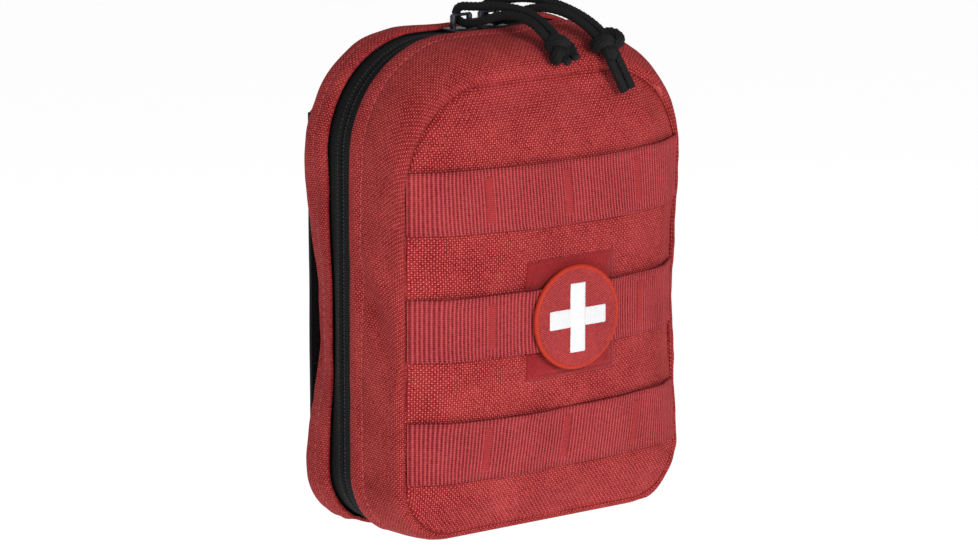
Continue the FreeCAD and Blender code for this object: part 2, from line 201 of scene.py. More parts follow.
class Outline:
    """A rectangle with round corners in the XZ plane, walked from the middle of its foot."""

    def __init__(self, half, foot, top, foot_radius, top_radius):
        self.parts = []
        quarter = math.pi / 2
        self.line(Vector((0, foot)), Vector((half - foot_radius, foot)))
        self.arc(Vector((half - foot_radius, foot + foot_radius)), foot_radius, -quarter)
        self.line(Vector((half, foot + foot_radius)), Vector((half, top - top_radius)))
        self.arc(Vector((half - top_radius, top - top_radius)), top_radius, 0)
        self.line(Vector((half - top_radius, top)), Vector((-half + top_radius, top)))
        self.arc(Vector((-half + top_radius, top - top_radius)), top_radius, quarter)
        self.line(Vector((-half, top - top_radius)), Vector((-half, foot + foot_radius)))
        self.arc(Vector((-half + foot_radius, foot + foot_radius)), foot_radius, 2 * quarter)
        self.line(Vector((-half + foot_radius, foot)), Vector((0, foot)))
        self.length = sum(part[0] for part in self.parts)

    def line(self, start, end):
        along = (end - start).normalized()
        normal = Vector((along.y, -along.x))
        self.parts.append(((end - start).length, lambda f: (start.lerp(end, f), normal)))

    def arc(self, centre, radius, start):
        def at(f):
            angle = start + f * math.pi / 2
            normal = Vector((math.cos(angle), math.sin(angle)))
            return centre + normal * radius, normal
        self.parts.append((radius * math.pi / 2, at))

    def locate(self, distance):
        """Which stretch a distance along the outline is on, and how far along that stretch."""
        distance %= self.length
        for index, (length, _) in enumerate(self.parts):
            if distance <= length or index == len(self.parts) - 1:
                return index, min(distance / length, 1.0)
            distance -= length

    def stretch(self, index, share):
        """The point and the outward direction at a share of one stretch."""
        return self.parts[index][1](share)

    def at(self, distance):
        return self.stretch(*self.locate(distance))

    def at_share(self, other, distance):
        """The point of this outline that stands opposite a distance along another one."""
        return self.stretch(*other.locate(distance))


def body_outline(inset=0.0):
    s = sizes()
    return Outline(HALF_WIDTH - inset, inset, HEIGHT - inset, s.foot_radius - inset, s.top_radius - inset)


def seam_outline(inset=0.0):
    s = sizes()
    side = HALF_WIDTH - PANEL_HALF + inset
    return Outline(PANEL_HALF - inset, PANEL_LOW + inset, PANEL_HIGH - inset,
                   s.foot_radius - side, s.top_radius - side)


def seam_distance(x, z):
    """How far inside the panel's seam a point is."""
    s = sizes()
    side = HALF_WIDTH - PANEL_HALF
    radius = (s.top_radius if z > PANEL_MIDDLE else s.foot_radius) - side
    across = abs(x) - PANEL_HALF + radius
    up = abs(z - PANEL_MIDDLE) - PANEL_HALF_HEIGHT + radius
    outside = math.hypot(max(across, 0), max(up, 0))
    return radius - outside - min(max(across, up), 0)


def crown_share(x, z):
    """1 in the middle of a panel and 0 all round its seam."""
    across = 1 - min(1.0, abs(x / PANEL_HALF)) ** 3
    up = 1 - min(1.0, abs((z - PANEL_MIDDLE) / PANEL_HALF_HEIGHT)) ** 3
    return across * up * clamp(seam_distance(x, z) / SEAM_FADE) ** 0.6


def outward(side):
    return -1 if side == "front" else 1


def seam_y(side):
    s = sizes()
    if side == "front":
        return low("front_panel").y + s.cover_crown
    return high("back_panel").y - s.back_crown


def crown(side):
    s = sizes()
    return s.cover_crown + s.bulge if side == "front" else s.back_crown


def nip(point, side):
    """Draws in the sides of a half at its waist, where the stuffing doesn't fill the cloth."""
    x, y, z = point
    depth = abs(y - ZIP_Y)
    waist = math.exp(-(abs(z - WAIST_Z) / WAIST_REACH) ** 2.4)
    if side == "back":
        share = clamp((depth - 0.004) / 0.016)
        pull = (BACK_NIP_LEFT if x < 0 else BACK_NIP_RIGHT) * waist * share
    elif x > 0:
        share = clamp((depth - 0.006) / 0.026)
        pull = (FRONT_RIGHT_INSET + FRONT_NIP_RIGHT * waist) * share
    else:
        return Vector(point)
    near_side = clamp((abs(x) - 0.030) / 0.042)
    return Vector((x - math.copysign(pull * near_side ** 1.5, x), y, z))


def between_rows(z):
    """1 in the middle of the cloth between two webbing rows, 0 under a row."""
    pitch = ROW_LOWS[1] - ROW_LOWS[0]
    phase = ((z - ROW_LOWS[0]) % pitch) / pitch
    gap = ROW_HEIGHT / pitch
    if phase < gap:
        return 0.0
    return math.sin((phase - gap) / (1 - gap) * math.pi) ** 0.7


def soft_noise(point, scale, seed):
    """Smooth noise of about -1 to 1 with lumps of the given size."""
    return noise.noise(Vector(point) / scale + Vector((seed * 17.3, seed * 5.1, seed * 9.7)))


def crease(point, start, end, width, depth):
    """A soft groove along a line from start to end; a negative depth is a ridge."""
    along = end - start
    share = clamp((point - start).dot(along) / along.length_squared)
    distance = (point - start - along * share).length
    fade = math.sin(math.pi * (0.08 + 0.84 * share)) ** 0.6
    return depth * fade * hump(distance, width)


def panel_base(side, x, z):
    """The smooth crowned surface that the panel and what is sewn on it follow."""
    lumps = 0.9 * MM * soft_noise((x, z, 0), 0.055, 1 if side == "front" else 2)
    edge = clamp(seam_distance(x, z) / SEAM_FADE)
    return seam_y(side) + outward(side) * (crown(side) * crown_share(x, z) + lumps * edge)


FRONT_CREASES = [
    (Vector((0.012, 0, 0.187)), Vector((0.020, 0, 0.172)), 0.0045, 0.0016),
    (Vector((0.030, 0, 0.186)), Vector((0.024, 0, 0.170)), 0.0050, -0.0010),
    (Vector((-0.068, 0, 0.176)), Vector((-0.040, 0, 0.163)), 0.0070, 0.0010),
    (Vector((-0.068, 0, 0.066)), Vector((-0.040, 0, 0.060)), 0.0060, 0.0009),
    (Vector((-0.066, 0, 0.120)), Vector((-0.030, 0, 0.110)), 0.0070, 0.0008),
    (Vector((0.064, 0, 0.118)), Vector((0.034, 0, 0.108)), 0.0060, 0.0012),
    (Vector((0.066, 0, 0.067)), Vector((0.030, 0, 0.072)), 0.0060, 0.0012),
    (Vector((-0.030, 0, 0.010)), Vector((-0.022, 0, 0.026)), 0.0050, 0.0009),
    (Vector((0.026, 0, 0.008)), Vector((0.014, 0, 0.026)), 0.0055, 0.0010),
]


def panel_skin(side, x, z):
    """The panel's own outside: pillows between the rows, puckers at the seam and soft folds."""
    s = sizes()
    inside = seam_distance(x, z)
    free = clamp(inside / 0.010)
    share = 1.0 if side == "front" else 0.4
    rise = s.pillow * between_rows(z) * free
    rise += 0.80 * MM * soft_noise((x, z * 1.6, 0), 0.017, 3) * free
    rise += 0.16 * MM * soft_noise((x * 1.3, z, 0), 0.006, 4)
    if side == "front":
        rise -= sum(crease(Vector((x, 0, z)), *line) for line in FRONT_CREASES)
    pucker = hump(inside - 0.0035, 0.004)
    rise += share * 0.45 * MM * pucker * soft_noise((x, z, 0), 0.0045, 5)
    rise -= (2.0 if side == "front" else 5.0) * MM * hump(inside, 0.0013)
    return panel_base(side, x, z) + outward(side) * share * rise


# ---------------------------------------------------------------- mesh helpers

def make_object(name, builder, smooth=True):
    mesh = bpy.data.meshes.new(name)
    if smooth:
        for face in builder.faces:
            face.smooth = True
    builder.to_mesh(mesh)
    builder.free()
    piece = bpy.data.objects.new(name, mesh)
    bpy.context.scene.collection.objects.link(piece)
    return piece


def turn_outward(builder, centre):
    """Turns all faces over if most of them look towards centre."""
    total = sum(f.normal.dot(f.calc_center_median() - centre) * f.calc_area() for f in builder.faces)
    if total < 0:
        bmesh.ops.reverse_faces(builder, faces=builder.faces[:])


def mapped_grid(columns, rows, place, uv):
    """A grid whose corners go where place(s, t) says, with uv(s, t) as its map in metres."""
    builder = bmesh.new()
    bmesh.ops.create_grid(builder, x_segments=columns, y_segments=rows, size=0.5)
    layer = builder.loops.layers.uv.new("UVMap")
    for face in builder.faces:
        for loop in face.loops:
            loop[layer].uv = uv(loop.vert.co.x + 0.5, loop.vert.co.y + 0.5)
    for vert in builder.verts:
        vert.co = place(vert.co.x + 0.5, vert.co.y + 0.5)
    return builder


def cloth_sheet(name, columns, rows, place, uv, closed=False, centre=INSIDE):
    """A grid of cloth that faces away from centre; a closed one has its two side edges joined."""
    builder = mapped_grid(columns, rows, place, uv)
    if closed:
        bmesh.ops.remove_doubles(builder, verts=builder.verts[:], dist=0.00002)
    builder.normal_update()
    turn_outward(builder, centre)
    return make_object(name, builder)


def tube(name, columns, around, place, uv):
    """A grid rolled round into a tube, with its ends closed."""
    builder = mapped_grid(columns, around, place, uv)
    bmesh.ops.remove_doubles(builder, verts=builder.verts[:], dist=0.00001)
    bmesh.ops.holes_fill(builder, edges=[e for e in builder.edges if e.is_boundary], sides=around + 2)
    bmesh.ops.recalc_face_normals(builder, faces=builder.faces[:])
    return make_object(name, builder)


def joined(builder, sheet):
    """Adds a sheet's mesh to builder and removes the sheet."""
    builder.from_mesh(sheet.data)
    bpy.data.objects.remove(sheet)


def thicken(piece, thickness, inner_slot=0):
    solid = piece.modifiers.new("Thickness", "SOLIDIFY")
    solid.thickness = thickness
    solid.offset = -1.0
    solid.use_even_offset = False
    solid.material_offset = inner_slot
    return piece


def smoothed(piece):
    modifier = piece.modifiers.new("Smooth", "SUBSURF")
    modifier.levels = modifier.render_levels = 1
    return piece


def scattered(name, unit, placements):
    """Many copies of one small mesh, each moved by its own matrix, as one piece."""
    builder = bmesh.new()
    mesh = bpy.data.meshes.new("unit")
    unit.to_mesh(mesh)
    unit.free()
    for matrix in placements:
        mesh_copy = mesh.copy()
        mesh_copy.transform(matrix)
        builder.from_mesh(mesh_copy)
        bpy.data.meshes.remove(mesh_copy)
    bpy.data.meshes.remove(mesh)
    return make_object(name, builder)


def placed(position, along, up, scale):
    """A matrix whose X runs along, whose Z is nearest up, and whose axes have the given sizes."""
    x = along.normalized()
    y = up.cross(x).normalized()
    z = x.cross(y)
    turn = Matrix((x, y, z)).transposed().to_4x4()
    return Matrix.Translation(position) @ turn @ Matrix.Diagonal((*scale, 1.0))


def thread_unit():
    unit = bmesh.new()
    bmesh.ops.create_uvsphere(unit, u_segments=6, v_segments=5, radius=0.5)
    bmesh.ops.rotate(unit, verts=unit.verts[:], cent=(0, 0, 0), matrix=Matrix.Rotation(math.pi / 2, 3, "Y"))
    return unit


def stitches(name, points, thickness=0.5 * MM, gap=0.26):
    """A run of topstitching along points, each given with its surface direction."""
    matrices = []
    for (start, up), (end, _) in zip(points, points[1:]):
        along = end - start
        scale = (along.length * (1 - gap), thickness, thickness * 0.75)
        matrices.append(placed((start + end) / 2, along, up, scale))
    return scattered(name, thread_unit(), matrices)


def dressed(piece, body, materials, replaced=()):
    """Gives a piece its materials, its body and the nodes that it stands for."""
    for material in materials:
        piece.data.materials.append(material)
    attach(piece, body)
    if replaced:
        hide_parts(*replaced)
    return piece


def paint(node, material):
    """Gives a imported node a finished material."""
    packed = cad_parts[node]
    for slot in packed.material_slots:
        slot.material = material
    return packed


# ---------------------------------------------------------------- materials

class Finish:
    """A material under construction: its nodes are added by short calls that return sockets."""

    made = {}

    def __init__(self, name, roughness, sheen=0.0, metallic=0.0, coat=0.0, gloss=0.5):
        self.material = bpy.data.materials.new(name)
        self.material.use_nodes = True
        self.tree = self.material.node_tree
        self.shader = self.tree.nodes["Principled BSDF"]
        values = {"Roughness": roughness, "Metallic": metallic, "Sheen Weight": sheen,
                  "Sheen Roughness": 0.5, "Specular IOR Level": gloss, "Coat Weight": coat}
        for socket, value in values.items():
            self.shader.inputs[socket].default_value = value
        Finish.made[name] = self.material

    def link(self, source, target):
        """Joins a socket to another, or sets a number or a colour on it."""
        if isinstance(source, bpy.types.NodeSocket):
            self.tree.links.new(source, target)
        else:
            target.default_value = source if isinstance(source, (int, float)) else (*source, 1.0)

    def math(self, operation, *values):
        node = self.tree.nodes.new("ShaderNodeMath")
        node.operation = operation
        for value, target in zip(values, node.inputs):
            self.link(value, target)
        return node.outputs[0]

    def times(self, a, b):
        return self.math("MULTIPLY", a, b)

    def plus(self, a, b):
        return self.math("ADD", a, b)

    def times_plus(self, a, b, c):
        """a times b, plus c."""
        return self.math("MULTIPLY_ADD", a, b, c)

    def coordinates(self, kind):
        """The two pattern directions in metres: the piece's own UV map, or its X and Z."""
        node = self.tree.nodes.new("ShaderNodeTexCoord")
        split = self.tree.nodes.new("ShaderNodeSeparateXYZ")
        self.tree.links.new(node.outputs["UV" if kind == "UV" else "Object"], split.inputs[0])
        return split.outputs[0], split.outputs[1 if kind == "UV" else 2]

    def noise(self, scale, detail=3.0):
        coordinates = self.tree.nodes.new("ShaderNodeTexCoord")
        node = self.tree.nodes.new("ShaderNodeTexNoise")
        node.inputs["Scale"].default_value = scale
        node.inputs["Detail"].default_value = detail
        self.tree.links.new(coordinates.outputs["Object"], node.inputs["Vector"])
        return node.outputs["Fac"]

    def ramp(self, fac, low_value, high_value):
        node = self.tree.nodes.new("ShaderNodeMapRange")
        self.link(fac, node.inputs["Value"])
        node.inputs["To Min"].default_value = low_value
        node.inputs["To Max"].default_value = high_value
        return node.outputs[0]

    def mix(self, fac, a, b):
        node = self.tree.nodes.new("ShaderNodeMix")
        node.data_type = "RGBA"
        for value, target in zip((fac, a, b), (node.inputs["Factor"], node.inputs[6], node.inputs[7])):
            self.link(value, target)
        return node.outputs[2]

    def colour(self, value):
        self.link(value, self.shader.inputs["Base Color"])

    def bump(self, height, distance):
        node = self.tree.nodes.new("ShaderNodeBump")
        node.inputs["Strength"].default_value = 1.0
        node.inputs["Distance"].default_value = distance
        self.link(height, node.inputs["Height"])
        self.tree.links.new(node.outputs[0], self.shader.inputs["Normal"])


def wave(f, value, pitch):
    """A rounded 0 to 1 wave along one direction."""
    angle = f.times(value, math.tau / pitch)
    return f.times_plus(f.math("SINE", angle), 0.5, 0.5)


WEFT_SHADE = 0.62          # how much of the warp's height the weft has


def plain_weave(f, u, v, pitch):
    """Threads over and under each other: the height of whichever thread is on top."""
    a = f.times(u, 1 / pitch)
    b = f.times(v, 1 / pitch)
    both = f.plus(f.math("FLOOR", a), f.math("FLOOR", b))
    over = f.math("GREATER_THAN", f.math("FRACT", f.times(both, 0.5)), 0.25)
    arch_a = f.math("SINE", f.times(f.math("FRACT", a), math.pi))
    arch_b = f.math("SINE", f.times(f.math("FRACT", b), math.pi))
    warp = f.times(arch_a, f.math("POWER", arch_b, 0.4))
    weft = f.times(arch_b, f.math("POWER", arch_a, 0.4))
    shaded = f.times(f.math("SUBTRACT", 1.0, over), WEFT_SHADE)
    return f.plus(f.times(warp, over), f.times(weft, shaded))


def twill_lines(f, u, v, pitch):
    """Slanting ribs, broken up along their length."""
    slant = f.plus(u, f.times(v, 1.7))
    ribs = wave(f, slant, pitch)
    breaks = wave(f, f.math("SUBTRACT", v, f.times(u, 0.35)), pitch * 0.9)
    return f.times_plus(breaks, 0.25, f.times(ribs, 0.75))


def rib_lines(f, u, v, pitch):
    """Ribs across the strap with fine picks along each rib."""
    ribs = wave(f, u, pitch)
    picks = wave(f, v, pitch * 0.42)
    return f.times_plus(picks, 0.22, f.times(ribs, 0.78))


def fine_ribs(f, u, v, pitch):
    picks = wave(f, v, pitch * 0.5)
    return f.times_plus(picks, 0.35, f.times(wave(f, u, pitch), 0.65))


def fuzz(f, u, v, pitch):
    return f.noise(1.0 / pitch, 4.0)


def cloth_finish(name, light, dark, pattern, pitch, depth, kind="UV", roughness=0.9, sheen=0.0,
                 mottle=0.3, sharpness=1.0):
    """Cloth: a thread pattern that bumps, painted with shade in its valleys and highlight on its crowns,
    with soft uneven dye and dust on top.
    """
    if name in Finish.made:
        return Finish.made[name]
    f = Finish(name, roughness, sheen, gloss=0.15)
    u, v = f.coordinates(kind)
    height = pattern(f, u, v, pitch)
    uneven = f.noise(55.0, 4.0)
    fleck = f.noise(900.0, 2.0)
    crisp = f.math("POWER", height, sharpness)
    # Painted shade and highlight: the pattern's height lightens the thread crowns and darkens the valleys
    # between them.
    shade = f.times_plus(crisp, 0.85, f.times_plus(fleck, 0.5, -0.16))
    shade = f.plus(shade, f.ramp(uneven, -mottle * 0.5, mottle * 0.5))
    shade = f.math("MINIMUM", f.math("MAXIMUM", shade, 0.0), 1.0)
    f.colour(f.mix(shade, dark, light))
    f.bump(f.times_plus(fleck, 0.25, height), depth)
    return f.material


def scaled(colour, factor):
    return tuple(min(1.0, c * factor) for c in colour)


def red_cloth():
    c = colours()
    # The weave is coloured with painted highlight on the crowns and painted shade in the valleys.
    return cloth_finish("red oxford cloth", c.cloth, c.cloth_valley_shade, plain_weave, sizes().weave, 0.00055,
                        sharpness=3.2)


def red_webbing():
    c = colours()
    # The ribs are coloured with painted highlight on their crowns and painted shade between them.
    return cloth_finish("red webbing", c.webbing, c.webbing_rib_shade, fine_ribs, sizes().webbing_rib, 0.0003,
                        sharpness=1.8)


def wave_only(f, u, v, pitch):
    return wave(f, f.plus(u, v), pitch)


def along_u(f, u, v, pitch):
    return wave(f, u, pitch)


def along_v(f, u, v, pitch):
    return wave(f, v, pitch)


def black_cloth(name, pattern, pitch, depth=0.0002, lift=1.0, kind="UV"):
    black = colours().black
    # Painted highlight on the thread crowns, raised by lift, over painted shade in the valleys.
    return cloth_finish(name, scaled(black, 1.9 * lift), scaled(black, 0.55), pattern, pitch, depth,
                        kind=kind, roughness=0.7, sheen=0.02)


def plastic_finish(name, colour, roughness=0.35, coat=0.1, grain=0.00005):
    if name in Finish.made:
        return Finish.made[name]
    f = Finish(name, roughness, coat=coat)
    fine = f.noise(1400.0, 3.0)
    f.colour(f.mix(f.noise(120.0, 3.0), scaled(colour, 0.8), scaled(colour, 1.2)))
    f.bump(fine, grain)
    return f.material


def metal_finish(name, colour, roughness=0.32):
    if name in Finish.made:
        return Finish.made[name]
    f = Finish(name, roughness, metallic=0.85, coat=0.3)
    worn = f.noise(700.0, 4.0)
    f.colour(f.mix(worn, scaled(colour, 0.7), scaled(colour, 1.5)))
    f.bump(worn, 0.00004)
    return f.material


# ---------------------------------------------------------------- cloth shells

def quarter_table(boxiness, steps=48):
    """Shares of depth and inset along a rounded quarter edge, evenly spaced along its length."""
    raw = []
    for i in range(steps + 1):
        angle = i / steps * math.pi / 2
        raw.append((math.sin(angle) ** (2 / boxiness), 1 - math.cos(angle) ** (2 / boxiness)))
    return raw


def along_edge(table, depth, inset, t):
    """The shares of depth and inset at a share t of the real length of the edge."""
    lengths = [0.0]
    for (d0, i0), (d1, i1) in zip(table, table[1:]):
        lengths.append(lengths[-1] + math.hypot((d1 - d0) * depth, (i1 - i0) * inset))
    target = t * lengths[-1]
    for index in range(len(table) - 1):
        if lengths[index + 1] >= target or index == len(table) - 2:
            span = lengths[index + 1] - lengths[index] or 1.0
            f = min(1.0, (target - lengths[index]) / span)
            (d0, i0), (d1, i1) = table[index], table[index + 1]
            return d0 + (d1 - d0) * f, i0 + (i1 - i0) * f, lengths[-1]


GUSSET_CREASES = {
    "front": [
        (Vector((-0.075, -0.002, 0.112)), Vector((-0.074, -0.022, 0.078)), 0.0055, 0.0022),
        (Vector((-0.075, 0.000, 0.128)), Vector((-0.074, -0.020, 0.104)), 0.0055, -0.0012),
        (Vector((-0.075, 0.002, 0.060)), Vector((-0.074, -0.018, 0.046)), 0.0060, 0.0009),
        (Vector((-0.074, 0.000, 0.160)), Vector((-0.072, -0.018, 0.146)), 0.0070, 0.0008),
        (Vector((-0.060, -0.004, 0.008)), Vector((-0.052, -0.022, 0.006)), 0.0050, 0.0011),
        (Vector((0.000, -0.002, 0.203)), Vector((0.014, -0.020, 0.198)), 0.0060, 0.0010),
    ],
    "back": [
        (Vector((-0.075, 0.022, 0.150)), Vector((-0.075, 0.036, 0.124)), 0.0060, 0.0010),
        (Vector((-0.075, 0.022, 0.062)), Vector((-0.075, 0.036, 0.080)), 0.0060, 0.0010),
    ],
}


TOPSTITCH_RUN = 0.0080     # how far the topstitching is from the hem


class Gusset:
    """The cloth band of one half, from its hem at the zipper round the rim to the panel's seam."""

    def __init__(self, side):
        self.side = side
        self.turn = outward(side)
        self.body = body_outline()
        self.seam = seam_outline(0.0006)
        self.hem_y = ZIP_Y + self.turn * sizes().window
        self.table = quarter_table(2.5 if side == "front" else 4.2)

    def edge_length(self, distance):
        index, share = self.body.locate(distance)
        start, _ = self.body.stretch(index, share)
        end, _ = self.seam.stretch(index, share)
        depth = abs(panel_base(self.side, end.x, end.y) - self.hem_y)
        return along_edge(self.table, depth, (end - start).length, 1.0)[2]

    def base(self, distance, t):
        """A point of the smooth band and its outward direction."""
        index, share = self.body.locate(distance)
        start, normal = self.body.stretch(index, share)
        end, _ = self.seam.stretch(index, share)
        seam = panel_base(self.side, end.x, end.y)
        depth = seam - self.hem_y
        into, inset, length = along_edge(self.table, abs(depth), (end - start).length, t)
        flat = start.lerp(end, inset)
        lean = min(1.0, max(0.0, inset) ** 0.6 + max(0.0, into - 0.9) * 4)
        facing = Vector((normal.x, 0, normal.y))
        direction = facing.lerp(Vector((0, self.turn, 0)), lean * 0.8).normalized()
        return Vector((flat.x, self.hem_y + depth * into, flat.y)), direction, length * t, length

    def skin(self, distance, t):
        """The finished outside, and how far along the band's depth it is."""
        point, direction, run, length = self.base(distance, t)
        away = 0.25 + 0.75 * min(1.0, run / 0.012)
        rise = 1.15 * MM * away * soft_noise(point, 0.030, 11)
        rise += 0.42 * MM * away * soft_noise(point, 0.012, 12) + 0.10 * MM * soft_noise(point, 0.005, 13)
        rise -= sum(crease(point, *line) for line in GUSSET_CREASES[self.side])
        rise += 0.5 * MM * hump(run - 0.0042, 0.0024)
        rise -= 0.55 * MM * hump(run - TOPSTITCH_RUN, 0.0010)
        left = length - run
        rise += 0.9 * MM * hump(left - 0.0045, 0.0035)
        rise += 0.4 * MM * hump(left - 0.004, 0.004) * soft_noise(point, 0.0045, 14)
        if self.side == "back":
            rise += 1.5 * MM * math.sin(math.pi * min(1.0, run / length)) * min(1.0, abs(point.x) / 0.06)
        rise -= 2.3 * MM * hump(left, 0.0013)
        if point.z < 0.004:
            rise = min(rise, 0.0)
        return nip(point + direction * rise, self.side), run

    def at_run(self, distance, run):
        """The finished outside at a length from the hem, and its outward direction."""
        t = run / self.edge_length(distance)
        return self.skin(distance, t)[0], self.base(distance, t)[1]


def build_gusset(side):
    band = Gusset(side)
    columns, rows = 330, 24 if side == "front" else 14
    total = band.body.length
    width = band.edge_length(total * 0.36)

    def place(s, t):
        return band.skin(s * total, t)[0]

    piece = cloth_sheet(side + "_gusset_cloth", columns, rows, place, flat_map(total, width), closed=True)
    thicken(piece, sizes().cloth, inner_slot=1)
    smoothed(piece)
    dressed(piece, BODY_OF[side], [red_cloth(), inner_coating()], [side + "_gusset"])
    points = []
    steps = int(total / sizes().stitch)
    for step in range(steps + 1):
        here, direction = band.at_run(total * step / steps, TOPSTITCH_RUN)
        points.append((here + direction * 0.22 * MM, direction))
    thread = stitches(side + "_gusset_topstitch", points)
    dressed(thread, BODY_OF[side], [topstitch_thread()])


def inner_coating():
    c = colours()
    return cloth_finish("coated cloth inside", scaled(c.cloth, 0.55), scaled(c.cloth, 0.3), plain_weave,
                        sizes().weave, 0.0001, roughness=0.5)


def topstitch_thread():
    c = colours()
    return cloth_finish("topstitch thread", (0.66, 0.15, 0.16), scaled(c.thread, 0.8), wave_only,
                        0.0006, 0.00005, kind="Object", roughness=0.6)


def build_panel(side):
    columns, rows = 96, 124

    def plan(s, t):
        """The point of the panel for a place on the grid: a rectangle whose rim follows the seam."""
        a, b = 2 * s - 1, 2 * t - 1
        reach = max(abs(a), abs(b))
        straight = Vector((a * PANEL_HALF, PANEL_MIDDLE + b * PANEL_HALF_HEIGHT))
        if reach < 0.3:
            return straight
        rim = rim_point(a / reach, b / reach)
        share = reach ** 6
        return straight.lerp(rim, share)

    def place(s, t):
        flat = plan(s, t)
        centre = Vector((0, PANEL_MIDDLE))
        wide = centre + (flat - centre) * (1 + 0.012 * max(abs(2 * s - 1), abs(2 * t - 1)) ** 30)
        return nip((wide.x, panel_skin(side, flat.x, flat.y), wide.y), side)

    def lie(s, t):
        flat = plan(s, t)
        return flat.x, flat.y

    piece = cloth_sheet(side + "_panel_cloth", columns, rows, place, lie)
    thicken(piece, sizes().cloth, inner_slot=1)
    smoothed(piece)
    return dressed(piece, BODY_OF[side], [red_cloth(), inner_coating()], [side + "_panel"])


def rim_point(a, b):
    """Where a point on the unit square's rim lies on the seam: straight sides stay in place."""
    half, height = PANEL_HALF, PANEL_HALF_HEIGHT
    x, z = a * half, PANEL_MIDDLE + b * height
    radius = (sizes().top_radius if b > 0 else sizes().foot_radius) - (HALF_WIDTH - PANEL_HALF)
    if abs(a) == 1 or abs(a) > abs(b):
        over = abs(z - PANEL_MIDDLE) - (height - radius)
        if over <= 0:
            return Vector((x, z))
        angle = over / radius * math.pi / 4
    else:
        over = abs(x) - (half - radius)
        if over <= 0:
            return Vector((x, z))
        angle = math.pi / 2 - over / radius * math.pi / 4
    centre = Vector((half - radius, height - radius))
    corner = centre + radius * Vector((math.cos(angle), math.sin(angle)))
    return Vector((math.copysign(corner.x, a), PANEL_MIDDLE + math.copysign(corner.y, b)))


# ---------------------------------------------------------------- webbing, tacks, loop field

TACK_COLUMNS = [-0.0381, 0.0, 0.0381]
TACK_LENGTH = 18 * MM
TACK_TURNS = 24            # zigzag stitches in one bar tack


def webbing_lift(side, row, x, t):
    """How far the webbing stands off the panel: slack between the tacks, pressed down at them."""
    s = sizes()
    nearest = min(abs(x - column) for column in TACK_COLUMNS + [-PANEL_HALF, PANEL_HALF])
    slack = min(1.0, nearest / 0.012)
    edge = abs(2 * t - 1) ** 4
    lift = s.webbing + (0.55 + 0.75 * edge) * MM * slack
    lift += 0.22 * MM * soft_noise((x, 0, t * 0.02 + (7 if side == "front" else 9)), 0.02, 21) * slack
    if side == "front" and row == 1:
        lift += 1.1 * MM * clamp((0.0265 - abs(x)) / 0.004)
    rim = PANEL_HALF - abs(x)
    return lift - 1.6 * MM * hump(rim, 0.0016)


def webbing_point(side, row, x, t, above=0.0):
    z = ROW_LOWS[row] + ROW_HEIGHT * t
    sway = 0.35 * MM * math.sin(x / 0.021 + row * 2.1)
    y = panel_base(side, x, z) + outward(side) * (webbing_lift(side, row, x, t) + above)
    return nip((x, y, z + sway), side)


def build_webbing(side, row, name):
    rib = sizes().webbing_rib
    reach = PANEL_HALF - 0.0003
    columns = int(2 * reach / rib) * 6

    def place(s, t):
        x = (2 * s - 1) * reach
        ridge = 0.085 * MM * ribbed(x, rib)
        return webbing_point(side, row, x, t, above=ridge)

    piece = cloth_sheet(f"{side}_webbing_{name}_weave", columns, 10, place,
                        lambda s, t: ((2 * s - 1) * reach + rib / 4, ROW_HEIGHT * t))
    thicken(piece, sizes().webbing * 0.92)
    return dressed(piece, BODY_OF[side], [red_webbing()], [f"{side}_webbing_{name}"])


def build_tacks(side):
    """Dense zigzag bars: a soft ridge of thread with a wave at each stitch."""
    builder = bmesh.new()
    for row in range(3):
        for number, column in enumerate(TACK_COLUMNS):
            if side == "front" and row == 1 and column == 0.0:
                continue
            sway = 0.3 * MM * math.sin(row * 3.7 + number * 1.9)

            def place(s, t, row=row, column=column, sway=sway):
                across = (2 * s - 1) * 1.75 * MM
                share = 0.14 + 0.72 * t
                stitch = math.cos(math.tau * (t * TACK_TURNS + 0.35 * s))
                across *= 1 + 0.22 * soft_noise((t * 0.018, column, row), 0.0016, 23)
                roundness = math.sqrt(max(0.0, 1 - (2 * s - 1) ** 2))
                ends = min(1.0, min(t, 1 - t) * 16)
                rise = (0.05 + 0.42 * roundness * ends + 0.10 * stitch * roundness) * MM
                x = column + across + sway + 0.1 * MM * stitch
                return webbing_point(side, row, x, share, above=rise)

            joined(builder, cloth_sheet("bar", 8, 96, place, flat_map(3.6 * MM, TACK_LENGTH)))
    piece = make_object(side + "_bar_tack_thread", builder)
    return dressed(piece, BODY_OF[side], [tack_thread()], [side + "_bar_tacks"])


def tack_thread():
    c = colours()
    return cloth_finish("bar tack thread", c.thread, scaled(c.thread, 0.40), along_v,
                        TACK_LENGTH / TACK_TURNS, 0.0002, roughness=0.7, mottle=0.5)


